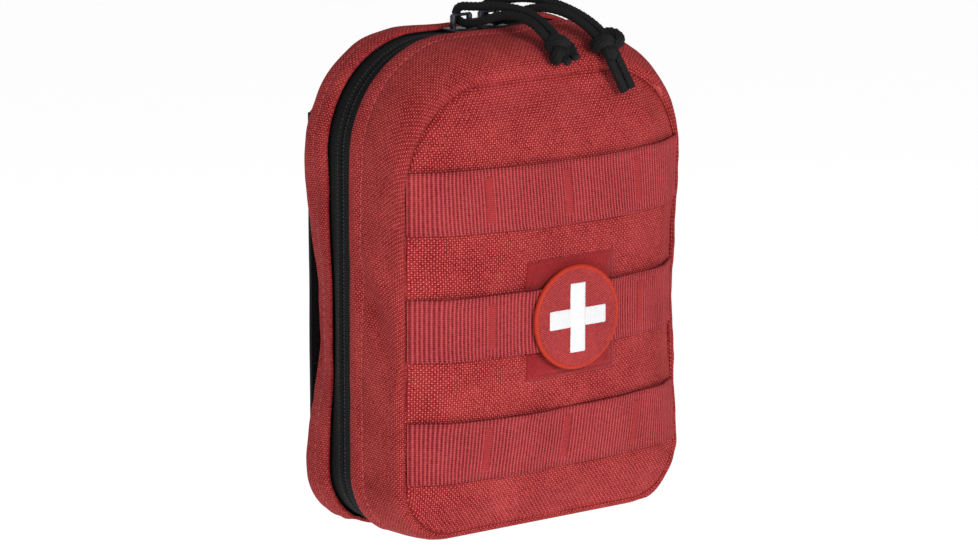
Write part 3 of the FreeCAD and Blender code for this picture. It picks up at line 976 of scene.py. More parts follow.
def build_loop_field():
    """The fuzzy loop field and its flat sewn border."""
    lowest, highest = corners("patch_loop_field")

    def height(x, z):
        return panel_skin("front", x, z) - 0.45 * MM

    def place(s, t):
        x, z = spot(lowest, highest, s, t)
        rim = rim_distance(lowest, highest, x, z)
        pile = clamp((rim - 0.0022) / 0.0012)
        rise = 0.10 * MM + 0.45 * MM * pile
        rise += 0.28 * MM * pile * noise.noise(Vector((x, z, 0)) / 0.00085)
        rise -= 0.4 * MM * hump(rim, 0.0005)
        y = height(x, z) - rise
        x += 0.25 * MM * soft_noise((x, z, 3), 0.006, 31)
        z += 0.35 * MM * soft_noise((x, z, 4), 0.009, 32)
        return Vector((x, y, z))

    piece = cloth_sheet("patch_loop_field_pile", 90, 98, place, flat_map(0.045, 0.049))
    thicken(piece, 0.6 * MM)
    c = colours()
    pile = cloth_finish("loop pile", c.pile, scaled(c.pile, 0.42), fuzz, 0.0007, 0.0006, roughness=0.95,
                        sheen=0.12, mottle=0.5)
    dressed(piece, "cover", [pile], ["patch_loop_field"])
    inset = Vector((1.3 * MM, 0, 1.3 * MM))
    start, end = lowest + inset, highest - inset
    path = [(start.x, start.z), (end.x, start.z), (end.x, end.z), (start.x, end.z), (start.x, start.z)]
    points = []
    for first, second in zip(path, path[1:]):
        first, second = Vector(first), Vector(second)
        steps = int((second - first).length / 0.0024)
        for step in range(steps):
            at = first.lerp(second, step / steps)
            points.append((Vector((at.x, height(at.x, at.y) - 0.2 * MM, at.y)), Vector((0, -1, 0))))
    points.append(points[0])
    thread = stitches("patch_loop_field_stitches", points, thickness=0.4 * MM)
    return dressed(thread, "cover", [tack_thread()])


# ---------------------------------------------------------------- patch

TWILL_PITCH = 0.00125
SATIN_PITCH = 0.42 * MM
EDGE_STITCHES = 150        # overlock stitches round the patch


def build_patch():
    centre = Vector((PATCH.x, 0, PATCH.z))
    rear_y = panel_base("front", PATCH.x, PATCH.z) - sizes().webbing - 2.0 * MM
    face_y = rear_y - 2.4 * MM
    radius = (high("patch_border").x - low("patch_border").x) / 2
    inner = radius - 1.9 * MM
    c = colours()

    def on_ring(s, r):
        return r * math.cos(math.tau * s), r * math.sin(math.tau * s)

    def disc(s, t):
        r = (inner + 0.6 * MM) * t
        x, z = Vector(on_ring(s, r)) + PATCH.xz
        puff = 0.25 * MM * hump(inner - r, 0.002)
        lumps = 0.15 * MM * soft_noise((x, z, 0), 0.012, 41)
        return Vector((x, face_y - 0.05 * MM * ribbed(x + z * 1.5, TWILL_PITCH) + puff - lumps, z))

    base = cloth_sheet("patch_twill", 220, 46, disc, lambda s, t: on_ring(s, inner * t), closed=True,
                       centre=centre)
    thicken(base, 1.2 * MM)
    twill = cloth_finish("patch twill", c.twill, scaled(c.twill, 0.22), twill_lines, TWILL_PITCH, 0.0004,
                         sharpness=2.4)
    dressed(base, "patch", [twill], ["patch_base"])

    def overlock(s, t):
        angle, turn = math.tau * s, math.tau * t
        slant = math.cos(angle * EDGE_STITCHES + 1.4 * math.sin(turn))
        fat = 1 + 0.085 * slant + 0.06 * noise.noise(Vector((math.cos(angle), math.sin(angle), 0)) * 14)
        wobble = 0.16 * MM * noise.noise(Vector((math.cos(angle) * 3, math.sin(angle) * 3, 5)))
        r = radius - 1.15 * MM + wobble + 1.15 * MM * fat * math.cos(turn)
        y = (face_y + rear_y) / 2 - 1.15 * MM * fat * math.sin(turn)
        return Vector((centre.x + r * math.cos(angle), y, centre.z + r * math.sin(angle)))

    border = tube("patch_overlocked_border", EDGE_STITCHES * 6, 12, overlock,
                  flat_map(math.tau * radius, 9 * MM))
    edge = cloth_finish("overlocked thread", c.edge, scaled(c.edge, 0.5), along_u,
                        math.tau * radius / EDGE_STITCHES, 0.0001, roughness=0.5, mottle=0.25)
    dressed(border, "patch", [edge], ["patch_border"])
    build_cross(centre, face_y, c)

    def backing(s, t):
        x, z = Vector(on_ring(s, (radius - 0.9 * MM) * t)) + PATCH.xz
        tips = 0.35 * MM * noise.noise(Vector((x, z, 0)) / 0.0009)
        return Vector((x, rear_y - 0.35 * MM + tips * (t < 0.98), z))

    hooks = cloth_sheet("patch_hooks", 110, 30, backing, flat_map(1, 1), closed=True,
                        centre=centre + Vector((0, -0.2, 0)))
    thicken(hooks, 0.9 * MM)
    nylon = plastic_finish("hook backing", (0.05, 0.05, 0.052), 0.6, 0.0, 0.0002)
    dressed(hooks, "patch", [nylon], ["patch_hook_backing"])


def build_cross(centre, face_y, c):
    """Satin stitch: each arm is a raised pad of close threads that run across it."""
    half = (high("patch_cross").x - low("patch_cross").x) / 2
    arm = 3.9 * MM
    builder = bmesh.new()
    bars = [(Vector((0, 0, 1)), Vector((1, 0, 0)), -half, half, 0.72 * MM),
            (Vector((1, 0, 0)), Vector((0, 0, 1)), -half, -arm + 0.3 * MM, 0.50 * MM),
            (Vector((1, 0, 0)), Vector((0, 0, 1)), arm - 0.3 * MM, half, 0.50 * MM)]
    for along, across, start, end, height in bars:
        def place(s, t, along=along, across=across, start=start, end=end, height=height):
            distance = start + (end - start) * s
            spread = 2 * t - 1
            profile = max(0.0, 1 - abs(spread) ** 3.2) ** 0.5
            ends = min(1.0, (max(0.0, min(distance - start, end - distance)) / (0.5 * MM)) ** 0.5)
            thread = 0.045 * MM * ribbed(distance, SATIN_PITCH)
            ragged = 0.10 * MM * noise.noise(Vector((distance * 2500, spread * 0.4, height * 9000)))
            point = centre + along * distance + across * (spread * (arm + ragged * abs(spread)))
            point.y = face_y + 0.12 * MM - (height * profile * ends + thread * profile)
            return point

        def lie(s, t, start=start, end=end):
            return start + (end - start) * s, t * 2 * arm

        columns = int((end - start) / SATIN_PITCH * 5)
        joined(builder, cloth_sheet("arm", columns, 14, place, lie, centre=centre + Vector((0, 1, 0))))
    piece = make_object("patch_satin_cross", builder)
    satin = cloth_finish("white satin thread", c.white, scaled(c.white, 0.62), along_u, SATIN_PITCH,
                         0.00008, roughness=0.42, sheen=0.1, mottle=0.15)
    dressed(piece, "patch", [satin], ["patch_cross"])


# ---------------------------------------------------------------- zipper

TAPE_WIDTH = 12.0 * MM
TAPE_START = 0.12 * MM     # half the gap between the two tapes
COIL_STITCH = 0.0017


def ring_stretch():
    """Where along the outline the zipper starts and ends, past the cloth hinge."""
    outline = body_outline(0.0024)
    hinge = high("hinge_strip").x + 0.5 * MM
    return outline, hinge, outline.length - hinge


def build_zipper(side):
    outline, start, end = ring_stretch()
    turn = outward(side)

    def tape_place(s, t):
        point, normal = outline.at(start + (end - start) * s)
        reach = TAPE_START + (TAPE_WIDTH - TAPE_START) * t
        fold = -0.9 * MM * hump(reach, 0.0007)
        swell = 0.55 * MM * hump(reach - 0.0020, 0.0016)
        swell += 0.25 * MM * hump(reach - 0.0062, 0.0010)
        flat = point + normal * (fold + swell - 0.1 * MM)
        return nip((flat.x, ZIP_Y + turn * reach, flat.y), side)

    tape = cloth_sheet(side + "_zipper_tape_weave", 300, 22, tape_place, flat_map(end - start, TAPE_WIDTH))
    thicken(tape, 0.55 * MM)
    tape_finish = black_cloth("zipper tape", rib_lines, 0.0011, 0.0002, lift=0.7)
    dressed(tape, BODY_OF[side], [tape_finish], [side + "_zipper_tape"])

    pitch = sizes().tooth
    count = int((end - start - 0.004) / pitch)
    shift = 0.0 if side == "front" else 0.5
    matrices = []
    for number in range(count):
        distance = start + 0.002 + (number + shift) * pitch
        point, normal = outline.at(distance)
        ahead, _ = outline.at(distance + 0.0002)
        along = Vector((ahead.x - point.x, 0, ahead.y - point.y))
        up = Vector((normal.x, 0, normal.y))
        flat = point - normal * 1.2 * MM
        centre = Vector((flat.x, ZIP_Y + turn * 1.45 * MM, flat.y))
        matrices.append(placed(centre, along, up, (0.92 * MM, 4.3 * MM, 1.3 * MM)))
    tooth = bmesh.new()
    bmesh.ops.create_cube(tooth, size=1.0)
    bmesh.ops.bevel(tooth, geom=tooth.edges[:], offset=0.24, segments=1, affect="EDGES", profile=0.5,
                    material=-1)
    teeth = scattered(side + "_zipper_coil_turns", tooth, matrices)
    coil = plastic_finish("coil nylon", (0.016, 0.016, 0.018), 0.38, 0.15)
    dressed(teeth, BODY_OF[side], [coil], [side + "_zipper_coil"])

    points = []
    steps = int((end - start) / COIL_STITCH)
    for step in range(steps + 1):
        point, normal = outline.at(start + (end - start) * step / steps)
        flat = point + normal * 0.52 * MM
        points.append((Vector((flat.x, ZIP_Y + turn * 1.9 * MM, flat.y)), Vector((normal.x, 0, normal.y))))
    # The coil stitches are lifted to light grey as a painted highlight along the coil.
    thread = stitches(side + "_zipper_coil_stitches", points, thickness=0.7 * MM, gap=0.5)
    dressed(thread, BODY_OF[side],
            [black_cloth("zipper thread with painted highlight", wave_only, 0.0006, kind="Object", lift=9.0)])


# ---------------------------------------------------------------- sliders and cords

def rounded_bar(builder, size, at, bevel):
    """A box with rounded edges, added to builder."""
    made = bmesh.ops.create_cube(builder, size=1.0)
    verts = made["verts"]
    bmesh.ops.scale(builder, vec=size, verts=verts)
    edges = list({edge for vert in verts for edge in vert.link_edges})
    result = bmesh.ops.bevel(builder, geom=edges, offset=bevel, segments=3, affect="EDGES", profile=0.5,
                             material=-1)
    verts = list({v for f in result["faces"] for v in f.verts} | {v for v in verts if v.is_valid})
    bmesh.ops.translate(builder, vec=at, verts=verts)
    return verts


def build_slider(side):
    node = side + "_slider"
    lowest, highest = corners(node)
    centre = (lowest + highest) / 2
    length, width = highest.x - lowest.x, highest.y - lowest.y
    bar_z = highest.z - 0.7 * MM
    deck = bar_z - 5.5 * MM
    builder = bmesh.new()
    nose = 1 if side == "left" else -1
    for z in (deck - 0.5 * MM, lowest.z + 0.5 * MM):
        verts = rounded_bar(builder, (length, width, 1.0 * MM), (centre.x, ZIP_Y, z), 0.42 * MM)
        for vert in verts:
            share = (vert.co.x - centre.x) / length * nose
            narrow = 1 - 0.30 * max(0.0, share + 0.1) - 0.10 * max(0.0, -share - 0.25)
            vert.co.y = ZIP_Y + (vert.co.y - ZIP_Y) * narrow
    rounded_bar(builder, (5.0 * MM, 0.7 * MM, deck - lowest.z - 0.8 * MM),
                (centre.x, ZIP_Y, (deck + lowest.z) / 2), 0.2 * MM)
    half = 5.0 * MM
    for x in (-half + 0.9 * MM, half - 0.9 * MM):
        rounded_bar(builder, (1.8 * MM, 2.6 * MM, bar_z - deck + 0.6 * MM),
                    (centre.x + x, ZIP_Y, (bar_z + deck) / 2 - 0.1 * MM), 0.6 * MM)
    rounded_bar(builder, (2 * half, 1.5 * MM, 1.3 * MM), (centre.x, ZIP_Y, bar_z), 0.6 * MM)
    piece = make_object(side + "_slider_body", builder)
    gunmetal = metal_finish("gunmetal", (0.045, 0.05, 0.065))
    return dressed(piece, node, [gunmetal], [node])


# Routes of the cord pulls in millimetres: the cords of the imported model, with the strands drawn
# together where they cross the top of the pouch.
ROUTES = {
    "left_pull_cord_over": [
        (-12.5, 9.5, 205.3), (-12.5, 15.7, 205.3), (-12.5, 15.7, 211.7), (-10.0, 7.0, 212.2),
        (-4.6, -2.5, 213.2), (-0.2, -11.5, 212.4), (2.6, -19.5, 209.4), (4.8, -26.0, 204.4),
        (7.2, -30.2, 198.4), (8.2, -37.2, 195.2)],
    "left_pull_cord_under": [
        (-12.5, 9.5, 205.3), (-12.5, 5.2, 205.3), (-9.6, -0.6, 207.8), (-5.8, -6.2, 210.2),
        (-2.7, -13.0, 210.2), (-0.5, -20.0, 207.9), (1.2, -26.0, 203.0), (3.6, -29.8, 197.0),
        (4.6, -36.6, 193.6)],
    "right_pull_cord_over": [
        (1.5, 9.5, 205.3), (1.5, 15.7, 205.3), (1.5, 15.7, 211.7), (4.2, 7.0, 213.6),
        (10.2, -1.5, 215.2), (17.0, -10.5, 213.6), (23.6, -19.0, 209.4), (28.2, -26.0, 204.0),
        (30.4, -31.2, 197.8), (32.9, -34.6, 189.2), (37.0, -36.4, 179.8)],
    "right_pull_cord_under": [
        (1.5, 9.5, 205.3), (1.5, 5.2, 205.3), (4.6, -0.8, 208.4), (9.8, -5.8, 211.6),
        (15.6, -12.4, 211.4), (20.6, -19.6, 208.4), (24.6, -26.4, 203.0), (27.2, -31.0, 196.4),
        (29.6, -34.6, 187.6), (33.6, -36.2, 178.6)],
}


def route_line(name, points):
    """The smooth line of a route: the points of its NURBS spline."""
    curve = bpy.data.curves.new(name + "_route", "CURVE")
    curve.dimensions = "3D"
    curve.resolution_u = 14
    spline = curve.splines.new("NURBS")
    spline.points.add(len(points) - 1)
    for target, point in zip(spline.points, points):
        target.co = (*[value * MM for value in point], 1.0)
    spline.use_endpoint_u = True
    spline.order_u = 3
    carrier = bpy.data.objects.new(name + "_route", curve)
    bpy.context.scene.collection.objects.link(carrier)
    bpy.context.view_layer.update()
    mesh = bpy.data.meshes.new_from_object(carrier)
    line = [vert.co.copy() for vert in mesh.vertices]
    bpy.data.objects.remove(carrier)
    bpy.data.meshes.remove(mesh)
    bpy.data.curves.remove(curve)
    return line


def evenly(line, step):
    """The same line with points at an even spacing, and their distances along it."""
    lengths = [0.0]
    for a, b in zip(line, line[1:]):
        lengths.append(lengths[-1] + (b - a).length)
    count = max(2, round(lengths[-1] / step))
    result, index = [], 0
    for number in range(count + 1):
        target = lengths[-1] * number / count
        while index < len(line) - 2 and lengths[index + 1] < target:
            index += 1
        span = lengths[index + 1] - lengths[index] or 1.0
        result.append(line[index].lerp(line[index + 1], (target - lengths[index]) / span))
    return result, lengths[-1]


def braid_rise(distance, angle, radius):
    """Height of a diamond braid: strands cross each other two ways round the cord."""
    turns = distance / (radius * 4.6)
    one = math.cos(8 * (angle + turns * math.tau / 2))
    two = math.cos(8 * (angle - turns * math.tau / 2))
    return 0.075 * radius * (one + two)


CORD_STEP = 0.00032        # length of one row of faces along a cord


def heading(points, index):
    """The direction of a line at one of its points."""
    return (points[min(len(points) - 1, index + 1)] - points[max(0, index - 1)]).normalized()


def braided_tube(name, line, radius, taper=True):
    """A braided cord along a line, with the braid raised in the mesh; a taper closes its far end."""
    points, length = evenly(line, CORD_STEP)
    frames = []
    up = Vector((0, 0, 1))
    for index, point in enumerate(points):
        tangent = heading(points, index)
        side = up.cross(tangent)
        if side.length < 0.05:
            side = Vector((1, 0, 0)).cross(tangent)
        side.normalize()
        up = tangent.cross(side).normalized()
        frames.append((point, side, up))
    last = len(points) - 1

    def place(s, t):
        point, side, upward = frames[min(last, round(s * last))]
        angle = math.tau * t
        cap = 1.0
        if taper:
            near_end = min(1.0, (length - s * length) / (radius * 0.5))
            cap = min(1.0, math.sqrt(max(0.0, 1 - (1 - near_end) ** 2)) + 0.55)
        r = (radius * 0.93 + braid_rise(s * length, angle, radius)) * cap
        return point + (side * math.cos(angle) + upward * math.sin(angle)) * r

    cord = tube(name, last, 32, place, flat_map(length, math.tau * radius))
    return cord, points, length


def cord_finish():
    return black_cloth("braided cord", along_v, 0.0005, 0.00008, lift=1.1)


def knot_line(centre, size, lean):
    """A pulled-tight overhand knot: a squashed trefoil, turned so that its axis leans with the cord."""
    turn = Matrix.Rotation(lean, 3, "Y")
    line = []
    for step in range(97):
        angle = math.tau * step / 96
        x = math.sin(angle) + 1.55 * math.sin(2 * angle)
        z = math.cos(angle) - 1.55 * math.cos(2 * angle)
        y = -1.45 * math.sin(3 * angle)
        line.append(centre + turn @ Vector((x, y, z * 0.92)) * size)
    return line


def build_pull(side, knot_lean):
    body = side + "_pull"
    radius = sizes().cord / 2
    knot_node = side + "_pull_knot"
    centre = middle(knot_node)
    reach = (high(knot_node).x - low(knot_node).x) / 2
    fullness = 1.5 if side == "left" else 1.42
    line = knot_line(centre, (reach - radius * 1.1) / 2.55, knot_lean)
    knot, _, _ = braided_tube(side + "_pull_tight_knot", line, radius * fullness, taper=False)
    dressed(knot, body, [cord_finish()], [knot_node])
    for strand in ("over", "under"):
        node = f"{side}_pull_cord_{strand}"
        points, _ = evenly(route_line(node, ROUTES[node]), 0.0003)
        cord, path, length = braided_tube(node + "_braid", points, radius)
        dressed(cord, body, [cord_finish()], [node])
        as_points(path)


# ---------------------------------------------------------------- back straps

STRAP_RIB = 0.0016
STRAP_RISE = 0.07 * MM
STRAP_INSET = 1.2 * MM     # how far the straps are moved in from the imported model's
ROOT_INSET = 4.4 * MM      # how far a root's top leans in
ROOT_TAPER = 0.28


def build_strap(side):
    """A woven strap that hangs from its sewn top, with a folded and boxed lower end."""
    node = side + "_strap"
    lowest, highest = corners(node)
    body = side + "_back_strap"
    shift = strap_shift(side)
    width, length = highest.x - lowest.x, highest.z - lowest.z
    middle_y = (lowest.y + highest.y) / 2

    def place(s, t):
        x = lowest.x + shift + width * s
        z = lowest.z + length * t
        rib = STRAP_RISE * ribbed(x - lowest.x, STRAP_RIB)
        double = 0.7 * MM * clamp((lowest.z + 0.020 - z) / 0.0008)
        wander = 0.35 * MM * soft_noise((x * 0.3, 0, z), 0.03, 51)
        y = middle_y + 0.55 * MM + rib + double + wander - 0.5 * MM * hump(z - 0.021, 0.005)
        return Vector((x, y, z))

    piece = cloth_sheet(node + "_weave", 80, 150, place, flat_map(width, length))
    thicken(piece, sizes().webbing)
    dressed(piece, body, [strap_cloth()], [node])
    paint(side + "_snap_cap", plastic_finish("snap cap", (0.012, 0.012, 0.013), 0.28, 0.4))
    box = [(0.16, 0.145), (0.84, 0.145), (0.84, 0.035), (0.16, 0.035), (0.16, 0.145), (0.84, 0.035)]
    points = []
    for first, second in zip(box, box[1:]):
        first, second = Vector(first), Vector(second)
        for step in range(9):
            at = first.lerp(second, step / 9)
            points.append((place(at.x, at.y) + Vector((0, 0.15 * MM, 0)), Vector((0, 1, 0))))
    thread = stitches(node + "_box_stitches", points, thickness=0.5 * MM)
    strap_thread = black_cloth("strap thread", wave_only, 0.0006, kind="Object", lift=4.0)
    dressed(thread, body, [strap_thread])


def build_strap_roots():
    """The sewn tops of both straps, which bend where the straps swing out."""
    for side in ("left", "right"):
        strap_low, strap_high = corners(side + "_strap")
        width = strap_high.x - strap_low.x
        start = strap_low.x + strap_shift(side)
        foot, top = strap_high.z - 5 * MM, high("strap_anchors").z
        hang_y = (strap_low.y + strap_high.y) / 2 + 0.45 * MM

        def place(s, t, start=start, foot=foot, top=top, hang_y=hang_y, width=width):
            z = foot + (top - foot) * t
            gather = max(0.0, (t - 0.3) / 0.7)
            inward = -math.copysign(ROOT_INSET, start + width / 2) * gather
            x = start + inward + width * (0.5 + (s - 0.5) * (0.98 - ROOT_TAPER * gather))
            tack = 0.35 * MM * hump(z - top + 0.0035, 0.0010)
            tack *= 1 + 0.25 * ribbed(x, 0.0009)
            rib = STRAP_RISE * ribbed(x - start, STRAP_RIB)
            sewn_y = panel_skin("back", x, z) + 1.4 * MM
            down = clamp((z - foot - 0.004) / 0.008)
            return Vector((x, hang_y + (sewn_y - hang_y) * down ** 1.5 + rib + tack, z))

        root = cloth_sheet(side + "_strap_root", 90, 40, place, flat_map(width, 0.015))
        thicken(root, sizes().webbing * 0.9)
        root.data.materials.append(strap_cloth())
        if side == "left":
            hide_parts("strap_anchors")
        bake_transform(root)
    paint("snap_studs", metal_finish("snap stud", (0.05, 0.05, 0.055)))


def strap_cloth():
    return black_cloth("strap webbing", fine_ribs, STRAP_RIB, 0.0003, lift=1.4)


def strap_shift(side):
    return STRAP_INSET if side == "left" else -STRAP_INSET


def build_hinge():
    """The cloth hinge along the base."""
    lowest, highest = corners("hinge_strip")

    def place(s, t):
        x = lowest.x + (highest.x - lowest.x) * s
        y = lowest.y - 0.8 * MM + (highest.y - lowest.y + 1.6 * MM) * t
        fold = 0.25 * MM * hump(y - ZIP_Y, 0.0015) + 0.12 * MM * soft_noise((x, y, 0), 0.008, 61)
        return Vector((x, y, lowest.z + 0.15 * MM + fold))

    piece = cloth_sheet("base_hinge_cloth", 110, 26, place, flat_map(0.075, 0.016))
    thicken(piece, 0.9 * MM)
    piece.data.materials.append(red_cloth())
    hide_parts("hinge_strip")
    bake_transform(piece)
    paint("zipper_end_stops", metal_finish("zipper stops", (0.04, 0.042, 0.05)))


# ---------------------------------------------------------------- inside

def build_lining(side):
    """The grey lining: round inside the gusset and over the panel, following both."""
    band = Gusset(side)
    total = band.body.length
    centre = Vector((0, PANEL_MIDDLE))
    start_run, gap = 0.0035, 2.3 * MM
    floor_y = low("back_lining").y if side == "back" else None

    def place(s, t):
        distance = s * total
        length = band.edge_length(distance)
        if t < 0.4:
            run = start_run + (length - 0.0055 - start_run) * t / 0.4
            point, direction = band.at_run(distance, run)
            inner = point - direction * (gap + 3.0 * MM * hump(length - run, 0.008))
        else:
            share = (t - 0.4) / 0.6
            edge, _ = band.seam.at_share(band.body, distance)
            edge = edge.lerp(centre, 0.03 + 0.97 * share)
            groove = 2.4 * MM * hump(seam_distance(edge.x, edge.y), 0.0045)
            y = panel_base(side, edge.x, edge.y) - band.turn * (gap + 1.1 * MM + groove)
            inner = nip((edge.x, y, edge.y), side)
        if floor_y is not None:
            inner.y = min(inner.y, floor_y)
        return inner

    piece = cloth_sheet(side + "_lining_cloth", 220, 40, place, flat_map(total, 0.09), closed=True)
    dressed(piece, BODY_OF[side], [lining_cloth()], [side + "_lining"])
    thicken(piece, 0.4 * MM)

    def tape(s, t):
        point, direction = band.at_run(s * total, 0.0045 + 0.0078 * t)
        roll = 0.5 * MM * math.sqrt(max(0.0, 1 - (2 * t - 1) ** 2))
        return point - direction * (gap + 0.5 * MM + roll)

    binding = cloth_sheet(side + "_inner_binding", 260, 10, tape, flat_map(total, 0.008), closed=True)
    thicken(binding, 0.35 * MM)
    dressed(binding, BODY_OF[side], [binding_cloth()], [side + "_gusset_binding"])


def build_stiffener():
    """The thin plastic sheet that keeps the back flat, between the lining and the cloth."""
    edge = seam_outline(9 * MM)

    def place(s, t):
        rim = edge.at(s * edge.length)[0]
        flat = Vector((0, PANEL_MIDDLE)).lerp(rim, t)
        return nip((flat.x, low("back_lining").y + 1.9 * MM, flat.y), "back")

    sheet = cloth_sheet("back_stiffener_sheet", 120, 12, place, flat_map(1, 1), closed=True)
    thicken(sheet, 1.0 * MM)
    dressed(sheet, "back_half",
            [plastic_finish("stiffener sheet", (0.06, 0.06, 0.065), 0.6, 0.0)], ["back_stiffener"])


def lining_cloth():
    c = colours()
    return cloth_finish("grey lining", c.lining, scaled(c.lining, 0.4), plain_weave, 0.0006, 0.00015)


def binding_cloth():
    return black_cloth("binding tape", fine_ribs, 0.0008, 0.0002, lift=2.2)


def bound_edge(name, path, body, node):
    """Folded tape along a path: a flat rounded tube."""
    thickness, width = 1.1 * MM, 3.2 * MM
    points, length = evenly(path, 0.0012)
    last = len(points) - 1

    def place(s, t):
        index = min(last, round(s * last))
        across = heading(points, index).cross(Vector((0, 1, 0))).normalized()
        angle = math.tau * t
        flat, round_ = math.cos(angle), math.sin(angle)
        spread = math.copysign(abs(flat) ** 0.5, flat) * width / 2
        rise = math.copysign(abs(round_) ** 0.7, round_) * thickness / 2
        return points[index] + across * spread + Vector((0, rise, 0))

    piece = tube(name, last, 14, place, flat_map(length, 0.008))
    dressed(piece, body, [binding_cloth()], [node])


def rounded_path(corners_, radius, steps=8):
    """A path through corners, with each inner corner rounded."""
    path = [Vector(corners_[0])]
    for before, corner, after in zip(corners_, corners_[1:], corners_[2:]):
        before, corner, after = Vector(before), Vector(corner), Vector(after)
        first = corner + (before - corner).normalized() * radius
        last = corner + (after - corner).normalized() * radius
        for step in range(steps + 1):
            f = step / steps
            path.append(first.lerp(corner, f).lerp(corner.lerp(last, f), f))
    path.append(Vector(corners_[-1]))
    return path


def build_mesh_pocket():
    """A real lattice of thin threads, bulging a little over what is in it."""
    lowest, highest = corners("mesh_pocket")
    spread = highest.x - lowest.x
    rise = highest.z - lowest.z
    cells = 36

    def place(s, t):
        x, z = spot(lowest, highest, s, t)
        puff = 0.6 * MM * math.sin(math.pi * s) * math.sin(math.pi * min(1.0, t * 1.1))
        slack = 0.5 * MM * soft_noise((x, z, 0), 0.02, 71)
        return Vector((x, highest.y - 0.5 * MM + puff + slack * (1 - abs(2 * s - 1)), z))

    builder = bmesh.new()
    bmesh.ops.create_grid(builder, x_segments=cells, y_segments=int(cells * rise / spread), size=0.5)
    bmesh.ops.poke(builder, faces=builder.faces[:])

    def straight(edge):
        return any(len({round(vert.co[axis] * 1000) for vert in edge.verts}) == 1 for axis in (0, 1))

    inner = [edge for edge in builder.edges if straight(edge) and not edge.is_boundary]
    bmesh.ops.dissolve_edges(builder, edges=inner, use_verts=False)
    for vert in builder.verts:
        vert.co = place(vert.co.x + 0.5, vert.co.y + 0.5)
    lattice = make_object("mesh_pocket_net", builder, smooth=False)
    wire = lattice.modifiers.new("Threads", "WIREFRAME")
    wire.thickness = 0.6 * MM
    wire.use_even_offset = False
    net = plastic_finish("black net", (0.014, 0.014, 0.016), 0.6, 0.0)
    dressed(lattice, "cover", [net], ["mesh_pocket"])
    y = highest.y - 0.2 * MM
    x0, x1, z0, z1 = lowest.x, highest.x, lowest.z, highest.z
    top = ((x0 + x1) / 2, y, z1)
    ring = [top, (x1, y, z1), (x1, y, z0), (x0, y, z0), (x0, y, z1), top]
    bound_edge("mesh_pocket_bound_edge", rounded_path(ring, 0.006), "cover", "mesh_pocket_binding")


def build_slip_pocket():
    """A lining cloth pocket whose sides and foot turn back to the wall, open at its top."""
    lowest, highest = corners("slip_pocket")
    wide, tall = highest.x - lowest.x, highest.z - lowest.z
    depth = highest.y - lowest.y

    def place(s, t):
        x, z = spot(lowest, highest, s, t)
        rim = min(x - lowest.x, highest.x - x)
        low_rim = z - lowest.z
        back = 1 - clamp(rim / 0.006) ** 0.5 * clamp(low_rim / 0.0016) ** 0.5
        face = lowest.y + 0.4 * MM * soft_noise((x, z, 0), 0.02, 81)
        return Vector((x, face + (depth - 0.4 * MM) * back, z))

    piece = cloth_sheet("slip_pocket_cloth", 90, 60, place, flat_map(wide, tall))
    thicken(piece, 0.5 * MM)
    dressed(piece, "back_half", [lining_cloth()], ["slip_pocket"])
    y = lowest.y + 0.1 * MM
    wall = highest.y - 0.002
    path = [(lowest.x + 0.0005, wall, highest.z), (lowest.x + 0.0015, y, highest.z),
            (highest.x - 0.0015, y, highest.z), (highest.x - 0.0005, wall, highest.z)]
    bound_edge("slip_pocket_bound_edge", rounded_path(path, 0.004), "back_half", "slip_pocket_binding")


ROLL_FINISHES = {
    "gauze_roll": ("gauze_white", (0.82, 0.81, 0.77), 0.0014),
    "elastic_bandage_roll": ("bandage_tan", (0.62, 0.42, 0.26), 0.0018),
    "cohesive_bandage_roll": ("bandage_blue", (0.035, 0.12, 0.42), 0.0011),
}


def build_roll(node):
    """A wound roll: a spiral on both ends, soft edges and a loose outer lap."""
    slot, colour, pitch = ROLL_FINISHES[node]
    lowest, highest = corners(node)
    centre = (lowest + highest) / 2
    radius = (highest.x - lowest.x) / 2
    tall = highest.z - lowest.z
    layer = 1.5 * MM

    def place(s, t):
        angle = math.tau * s
        if t < 0.3 or t > 0.7:
            share = t / 0.3 if t < 0.3 else (1 - t) / 0.3
            r = radius * share
            laps = (r / layer - s) % 1
            groove = 0.45 * MM * hump(min(laps, 1 - laps), 0.16) * min(1.0, r / 0.003)
            edge = 0.9 * MM * max(0.0, (share - 0.93) / 0.07) ** 2
            inward = groove + edge + 1.2 * MM * hump(r, 0.0018)
            z = lowest.z + inward if t < 0.3 else highest.z - inward
        else:
            share = (t - 0.3) / 0.4
            z = lowest.z + 0.9 * MM + (tall - 1.8 * MM) * share
            lap = 0.5 * MM * max(0.0, 1 - abs(s - 0.85) / 0.01)
            r = radius - 0.1 * MM - lap + 0.12 * MM * soft_noise((angle * 0.01, 0, z), 0.004, 91)
        return Vector((centre.x + r * math.cos(angle), centre.y + r * math.sin(angle), z))

    piece = cloth_sheet(node + "_wound", 96, 100, place, flat_map(math.tau * radius, tall), closed=True,
                        centre=centre)
    finish = cloth_finish(node.replace("_", " "), colour, scaled(colour, 0.55), plain_weave, pitch, 0.0004)
    return dressed(piece, "back_half", [finish], [node])


